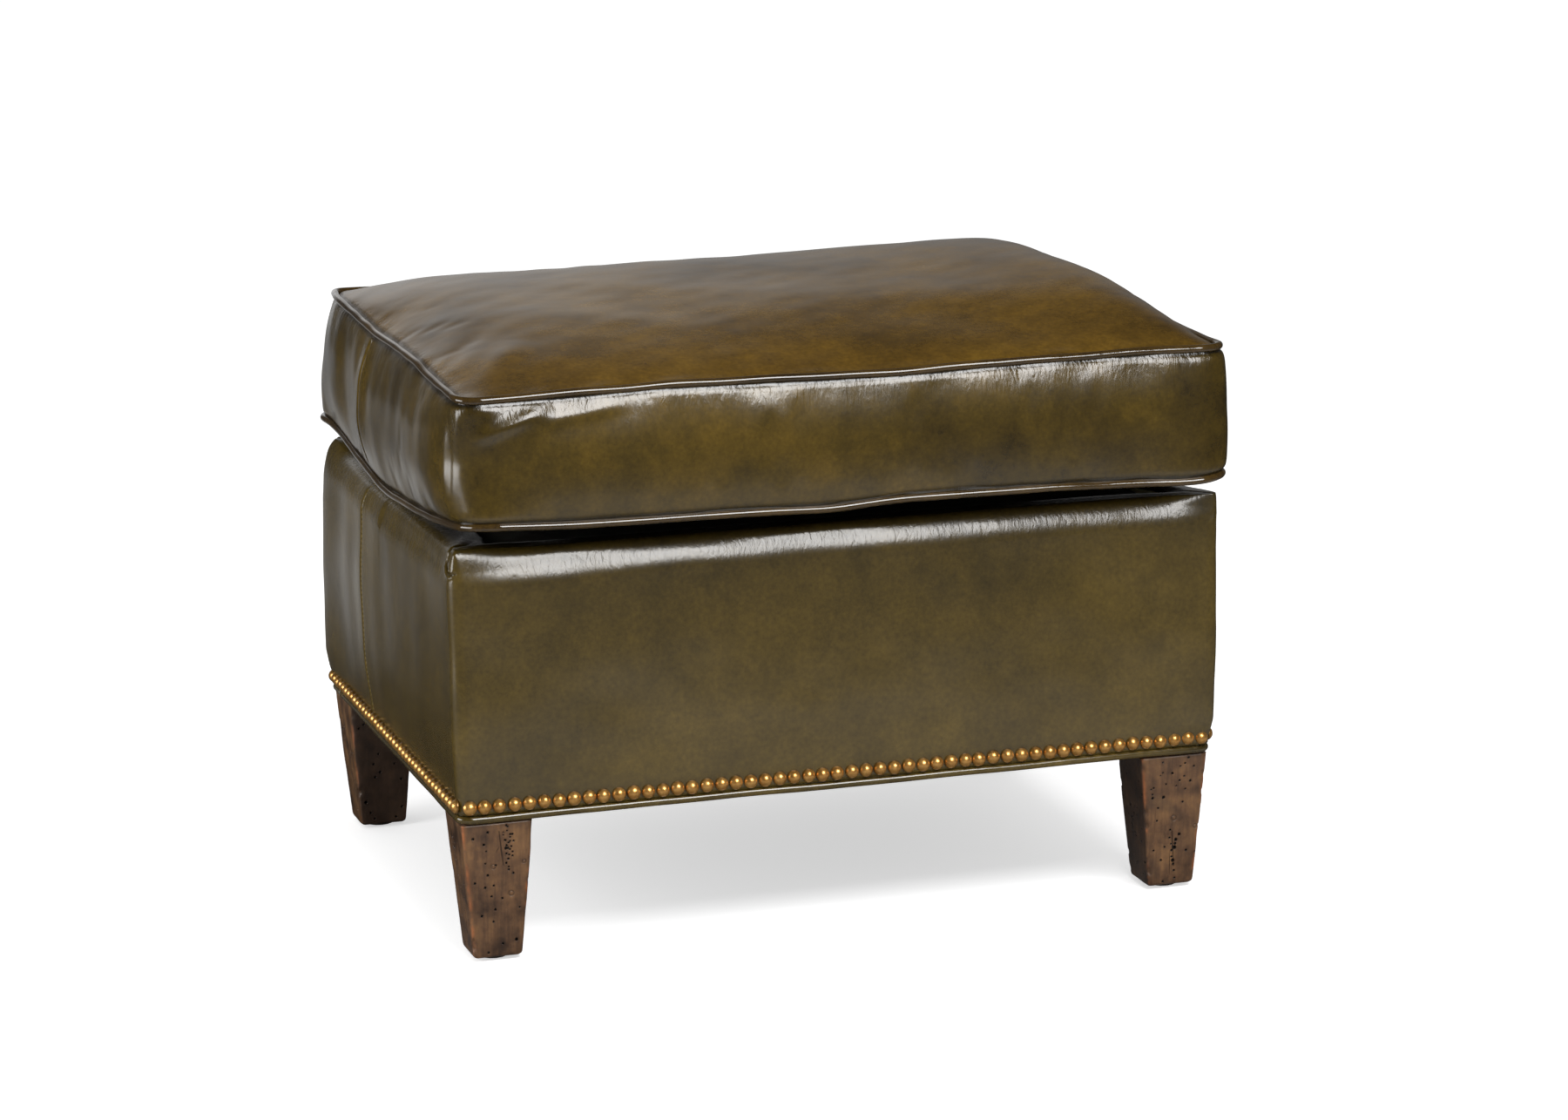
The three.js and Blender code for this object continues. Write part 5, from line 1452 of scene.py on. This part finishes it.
# Worm holes, placed as in the photograph: (across the face and down it in hundredths,
# radius in tenths of a millimetre)
HOLES = {
    ("front_left", "front"): [
        (36, 6, 12), (15, 10, 12), (30, 15, 11), (33, 20, 7), (31, 29, 8), (47, 31, 9),
        (34, 38, 11), (13, 43, 11), (43, 46, 10), (29, 47, 11), (39, 54, 10), (57, 56, 10),
        (45, 64, 11), (21, 68, 11), (41, 73, 10), (58, 90, 11), (87, 64, 9), (30, 96, 11),
        (74, 38, 10), (84, 88, 15), (62, 2, 10), (64, 3, 9), (63, 6, 8), (58, 7, 7), (58, 9, 7),
        (68, 9, 10), (71, 9, 10), (68, 11, 9), (61, 13, 10), (68, 14, 9), (73, 14, 9), (66, 15, 9),
        (63, 17, 10), (62, 19, 13), (65, 19, 11), (70, 18, 9), (68, 20, 9), (72, 22, 9),
        (63, 23, 10), (67, 24, 9), (72, 25, 9), (66, 27, 10), (63, 30, 10), (67, 33, 9),
        (67, 35, 10),
    ],
    ("front_right", "front"): [
        (32, 4, 9), (71, 2, 10), (66, 6, 10), (59, 8, 8), (80, 9, 10), (32, 12, 8), (28, 14, 7),
        (47, 13, 12), (66, 16, 9), (59, 19, 10), (76, 20, 12), (37, 21, 9), (17, 23, 10),
        (13, 24, 8), (54, 23, 8), (69, 26, 8), (15, 28, 9), (15, 31, 12), (33, 31, 15),
        (66, 36, 10), (24, 39, 10), (2, 46, 10), (22, 49, 10), (63, 61, 14), (36, 70, 10),
        (15, 72, 10), (78, 74, 11), (29, 80, 11), (97, 76, 11), (5, 89, 12), (56, 89, 11),
        (58, 95, 10), (33, 97, 11), (46, 57, 10), (45, 63, 10), (57, 65, 16), (56, 68, 13),
        (55, 71, 19), (50, 73, 13), (50, 78, 11), (53, 81, 17), (54, 84, 12), (48, 68, 9),
    ],
    ("back_left", "front"): [
        (20, 17, 10), (12, 20, 10), (42, 42, 10), (33, 50, 11), (70, 51, 10), (44, 57, 12),
        (35, 61, 11), (84, 64, 12), (14, 81, 16), (88, 87, 11), (22, 90, 11), (30, 95, 10),
        (76, 95, 11),
    ],
}
# Long gouges on the same faces: (across, down) at each end, width and depth in mm
GOUGES = {
    ("front_left", "front"): [
        ((0.52, 0.06), (0.585, 0.32), 1.6, 0.8), ((0.47, 0.22), (0.53, 0.17), 1.0, 0.5),
    ],
    ("front_left", "left"): [((0.72, 0.60), (0.62, 0.84), 2.0, 1.2)],
    ("front_right", "front"): [
        ((0.46, 0.70), (0.47, 0.93), 0.9, 0.7), ((0.49, 0.58), (0.55, 0.86), 1.8, 0.9),
    ],
    ("back_left", "left"): [((0.6, 0.55), (0.55, 0.85), 2.2, 0.9)],
}
# Round dents left by a tool: (across, down, radius in mm)
RINGS = {
    ("front_left", "front"): [(0.43, 0.32, 2.4), (0.72, 0.53, 2.6), (0.90, 0.30, 1.8)],
    ("front_right", "front"): [(0.52, 0.48, 2.8), (0.92, 0.56, 2.2)],
}
# Each face of a leg: the way across it, and the way that it faces
FACES = {
    "front": ((1, 0), (0, -1)),
    "right": ((0, 1), (1, 0)),
    "back": ((-1, 0), (0, 1)),
    "left": ((0, -1), (-1, 0)),
}
LEG_ROWS, LEG_COLUMNS = 84, 40


def leg_half(share):
    """Half a leg's width, at a share of the way up it."""
    return (LEG_FOOT + (LEG_TOP - LEG_FOOT) * share) / 2


def tapered_leg(centre, seed):
    """Points and faces of a square leg. Its edges wander and lose a little to wear, and
    its faces aren't quite flat."""
    points = []
    for share in np.linspace(0, 1, LEG_ROWS):
        foot = max(0, 1 - share * LEG_TALL / 0.004)
        half = leg_half(share) - 0.0022 * (1 - math.sqrt(max(0, 1 - foot**2)))
        loop = ring(half, half, 0.0019, (even(LEG_COLUMNS),) * 4)
        height = np.full(len(loop), LEG_FOOT_Z + share * LEG_TALL)
        points.append(np.column_stack([loop + centre, height]))
    points = np.vstack(points)
    flat = points[:, :2] - centre
    half = leg_half((points[:, 2] - LEG_FOOT_Z) / LEG_TALL)
    across, along = np.abs(flat).T
    edge = hump(np.minimum(half - across, half - along) + np.abs(across - along), 0.0030)
    wander = drift(points, 0.035, seed + 1)
    chips = step(drift(points, 0.012, seed + 2), 0.9, 1.5)
    cut = edge * (0.0004 + 0.0006 * np.clip(wander, 0, 2) + 0.0014 * chips)
    wavy = 0.00022 * drift(points * [1, 1, 0.45], 0.02, seed + 3)
    reach = np.maximum(across, along)
    points[:, :2] -= flat / reach[:, None] * (cut + wavy * (1 - edge))[:, None]
    columns = 4 * LEG_COLUMNS
    faces = grid_faces(LEG_ROWS, columns, closed=True)
    low, high = len(points), len(points) + 1
    points = np.vstack([points, [[*centre, LEG_FOOT_Z], [*centre, LEG_TOP_Z]]])
    for i in range(columns):
        j = (i + 1) % columns
        faces.append((low, j, i))
        faces.append((high, (LEG_ROWS - 1) * columns + i, (LEG_ROWS - 1) * columns + j))
    return points, faces


def make_leg(corner, sign_x, sign_y, seed):
    """A tapered square leg, drilled by worms and knocked about."""
    rng = np.random.default_rng(seed)
    centre = np.array([sign_x * LEG_X, BASE_MID_Y + sign_y * LEG_Y])

    def on_face(side, across, down):
        along, way = FACES[side]
        size = LEG_TOP + (LEG_FOOT - LEG_TOP) * down
        spot = centre + np.array(along) * (across - 0.5) * size + np.array(way) * size / 2
        return np.array([*spot, LEG_TOP_Z - down * LEG_TALL])

    holes, gouges, dents = [], [], []
    for side in FACES:
        way = np.array([*FACES[side][1], 0.0])
        thrown = scatter(rng)
        known = [(a / 100, d / 100, r / 10) for a, d, r in HOLES.get((corner, side), [])]
        for across, down, size in known or thrown:
            holes.append((on_face(side, across, down), way, size / 1000 * 0.92))
        for start, end, width, depth in GOUGES.get((corner, side), []):
            ends = on_face(side, *start), on_face(side, *end)
            gouges.append((*ends, way, width / 1000, depth / 1000))
        for across, down, size in RINGS.get((corner, side), []):
            dents.append((on_face(side, across, down), way, size / 1000))

    leg = bare_object(f"leg_{corner}_wood", *tapered_leg(centre, seed), WALNUT, smooth=True)
    spots = [spot for spot, _, _ in holes + dents]
    reaches = [radius + 0.0011 for _, _, radius in holes]
    reaches += [radius + 0.001 for _, _, radius in dents]
    for start, end, _, width, _ in gouges:
        spots += [start + (end - start) * t for t in np.linspace(0, 1, 14)]
        reaches += [width * 0.6 + 0.0012] * 14
    refine(leg, spots, reaches)
    points = places_of(leg)
    hole_shade, grime_and_shade = np.zeros(len(points)), np.zeros(len(points))
    for spot, way, radius in holes:
        away = distance(points, spot)
        close = away < radius * 1.7
        bowl = 1 - step(away[close], radius * 0.55, radius * 1.12)
        points[close] -= np.outer(bowl * radius * 1.9, way)
        # Painted shade inside each hole and at its rim
        hole_shade[close] = np.maximum(hole_shade[close], 1 - step(away[close], radius * 0.80, radius * 1.30))
    for start, end, way, width, depth in gouges:
        share, away = along_line(points, start, end)
        thin = width / 2 * (0.35 + 0.65 * np.sin(np.pi * np.clip(share, 0.03, 0.97)))
        groove = 1 - step(away, thin * 0.3, thin)
        points -= np.outer(groove * depth, way)
        # The gouges and the dent rings are drawn darker
        grime_and_shade = np.maximum(grime_and_shade, groove * 0.9)
    for spot, way, radius in dents:
        circle = hump(distance(points, spot), radius * 0.28, radius * 0.8)
        points -= np.outer(circle * 0.0005, way)
        grime_and_shade = np.maximum(grime_and_shade, circle * 0.55)
    move_points(leg, points)
    # Rubbed edges, dirt in patches, and painted shade on the faces that look under the stool
    flat = points[:, :2] - centre
    across, along = np.abs(flat).T
    half = leg_half((points[:, 2] - LEG_FOOT_Z) / LEG_TALL)
    rubbed = hump(np.abs(across - along) + np.clip(half - np.maximum(across, along), 0, 1), 0.0022)
    grime_and_shade = np.maximum(grime_and_shade, 0.5 * step(drift(points, 0.03, seed + 4), 0.5, 1.5))
    # Painted shade on the faces that look under the stool
    outer = flat * [sign_x, sign_y]
    inner = (-outer).max(axis=1) - outer.max(axis=1)
    grime_and_shade = np.maximum(grime_and_shade, 0.85 * step(inner, -0.001, 0.002))
    mark(leg, {"hole_shade": hole_shade, "edge": rubbed, "grime_and_shade": grime_and_shade * 0.8})
    dress(leg, "base", [f"leg_{corner}"])


def scatter(rng):
    """Worm holes thrown over a face that the photograph doesn't show, some in a group."""
    found = [
        (rng.uniform(0.06, 0.94), rng.uniform(0.03, 0.96), rng.uniform(0.6, 1.3))
        for _ in range(22)
    ]
    middle = rng.uniform(0.3, 0.7), rng.uniform(0.2, 0.7)
    for _ in range(12):
        across = middle[0] + rng.normal(0, 0.05)
        found.append((across, middle[1] + rng.normal(0, 0.08), rng.uniform(0.6, 1.1)))
    return [(a, min(d, 0.97), r) for a, d, r in found if 0.03 < a < 0.97 and d > 0.02]


def refine(thing, spots, reaches):
    """Splits the faces near each spot, so that a hole there has a round rim."""
    mesh = open_mesh(thing.data)
    centres = np.array([e.verts[0].co + e.verts[1].co for e in mesh.edges]) / 2
    near = np.zeros(len(centres), bool)
    for spot, reach in zip(spots, reaches):
        near |= distance(centres, spot) < reach
    chosen = [e for e, wanted in zip(mesh.edges, near) if wanted]
    bmesh.ops.subdivide_edges(mesh, edges=chosen, cuts=3, use_grid_fill=True)
    bmesh.ops.triangulate(mesh, faces=[f for f in mesh.faces if len(f.verts) > 4])
    close_mesh(mesh, thing.data)
    thing.data.shade_smooth()


# ---------------------------------------------------------------- filling and cloths


def fill_stool(cushion, base):
    """What lies under the leather, kept inside its shells, and the three cloths."""
    wrap = ("cushion_fibre_wrap", "fibre_batting", FIBRE, "cushion", "fibre", 0.006)
    soften(*wrap, cushion, 0.0030, 0.0008, 0.7)
    core = ("cushion_foam_core", "foam_block", FOAM, "cushion", "foam", 0.008)
    soften(*core, cushion, 0.0042, 0.0004, 0.9)
    for side in ("front", "back", "left", "right"):
        pad = (f"padding_{side}", f"{side}_batting", FIBRE, "base", "fibre", 0.0045)
        soften(*pad, base, 0.0022, 0.0003, 0.7)
    soften("edge_roll", "foam_roll", FOAM, "base", "foam", 0.0055, base, 0.0022, 0.0003, 0.9)
    soften("deck_pad", "deck_foam", FOAM, "base", "foam", 0.006, None, 0, 0.0004, 0.8)
    lay_sheet("deck_burlap", "burlap_cloth", BURLAP)
    lay_sheet("deck_cover", "deck_cloth", DECKING)
    lay_sheet("dust_cover", "dust_cloth", CAMBRIC, 0.0012)


# ---------------------------------------------------------------- the zipper

# Points of a tape along it and across it, and the share of its width that the teeth hide
TAPE_COLUMNS, TAPE_ROWS, TAPE_HIDDEN = 271, 8, 0.24


def make_zipper():
    """Two woven tapes, each with its own row of teeth along the slit."""
    rng = np.random.default_rng(5)
    pitch, end, tooth = 0.003, 0.002, (0.0017, 0.0020, 0.0026, 1)
    for half, sign in (("upper", 1), ("lower", -1)):
        low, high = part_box(f"zipper_half_{half}")
        xs = np.linspace(low.x, high.x, TAPE_COLUMNS)
        inner, outer = (low.z, high.z) if sign > 0 else (high.z, low.z)
        rows = []
        for share in np.linspace(TAPE_HIDDEN, 1, TAPE_ROWS):
            z = np.full(len(xs), inner + (outer - inner) * share)
            wave = 0.00012 * drift(np.column_stack([xs, 0 * xs, z]), 0.02, 71)
            rows.append(np.column_stack([xs, ZIP_Y + 0.0003 + wave, z]))
        faces = grid_faces(len(rows), len(xs))
        if sign > 0:
            faces = [face[::-1] for face in faces]
        name, points = f"zipper_tape_{half}", np.vstack(rows)
        tape = piece(name, points, faces, TAPE, "cushion", skin=0.0007)
        teeth = bmesh.new()
        for i in range(int((high.x - low.x - 2 * end) / pitch)):
            x = low.x + end + pitch * (i + (0.5 if sign > 0 else 0.0)) + 0.0005
            mid = inner + sign * 0.0013
            spot = Matrix.Translation((x, ZIP_Y, mid + rng.normal(0, 0.00003)))
            bmesh.ops.create_cube(teeth, size=1, matrix=spot @ Matrix.Diagonal(tooth))
        bmesh.ops.bevel(
            teeth, geom=[*teeth.edges], offset=0.0004, segments=1, affect="EDGES", profile=0.5
        )
        row = finish_mesh(teeth, f"zipper_teeth_{half}", BRASS)
        row.data.shade_smooth()
        dress(row, "cushion")
        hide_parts(f"zipper_half_{half}")


# ---------------------------------------------------------------- what stays as modelled


def dress_nodes():
    """Gives each solid that stays in view its material."""
    looks = {
        "rail_": HARDWOOD,
        "corner_block_": HARDWOOD,
        "leg_bolt_": STEEL,
        "glide_": NYLON,
        "spring_": STEEL,
        "zipper_slider": BRASS,
        "zipper_pull": BRASS,
    }
    for name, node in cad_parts.items():
        for start, look in looks.items():
            if name.startswith(start):
                node.data.materials.clear()
                node.data.materials.append(look)


make_studio()
place_camera()
cushion_shell = make_cushion()
base_shell = make_base()
make_nails()
fill_stool(cushion_shell, base_shell)
make_zipper()
for number, (corner, sign_x, sign_y) in enumerate(
    (("front_left", -1, -1), ("front_right", 1, -1), ("back_left", -1, 1), ("back_right", 1, 1))
):
    make_leg(corner, sign_x, sign_y, 40 + 10 * number)
dress_nodes()
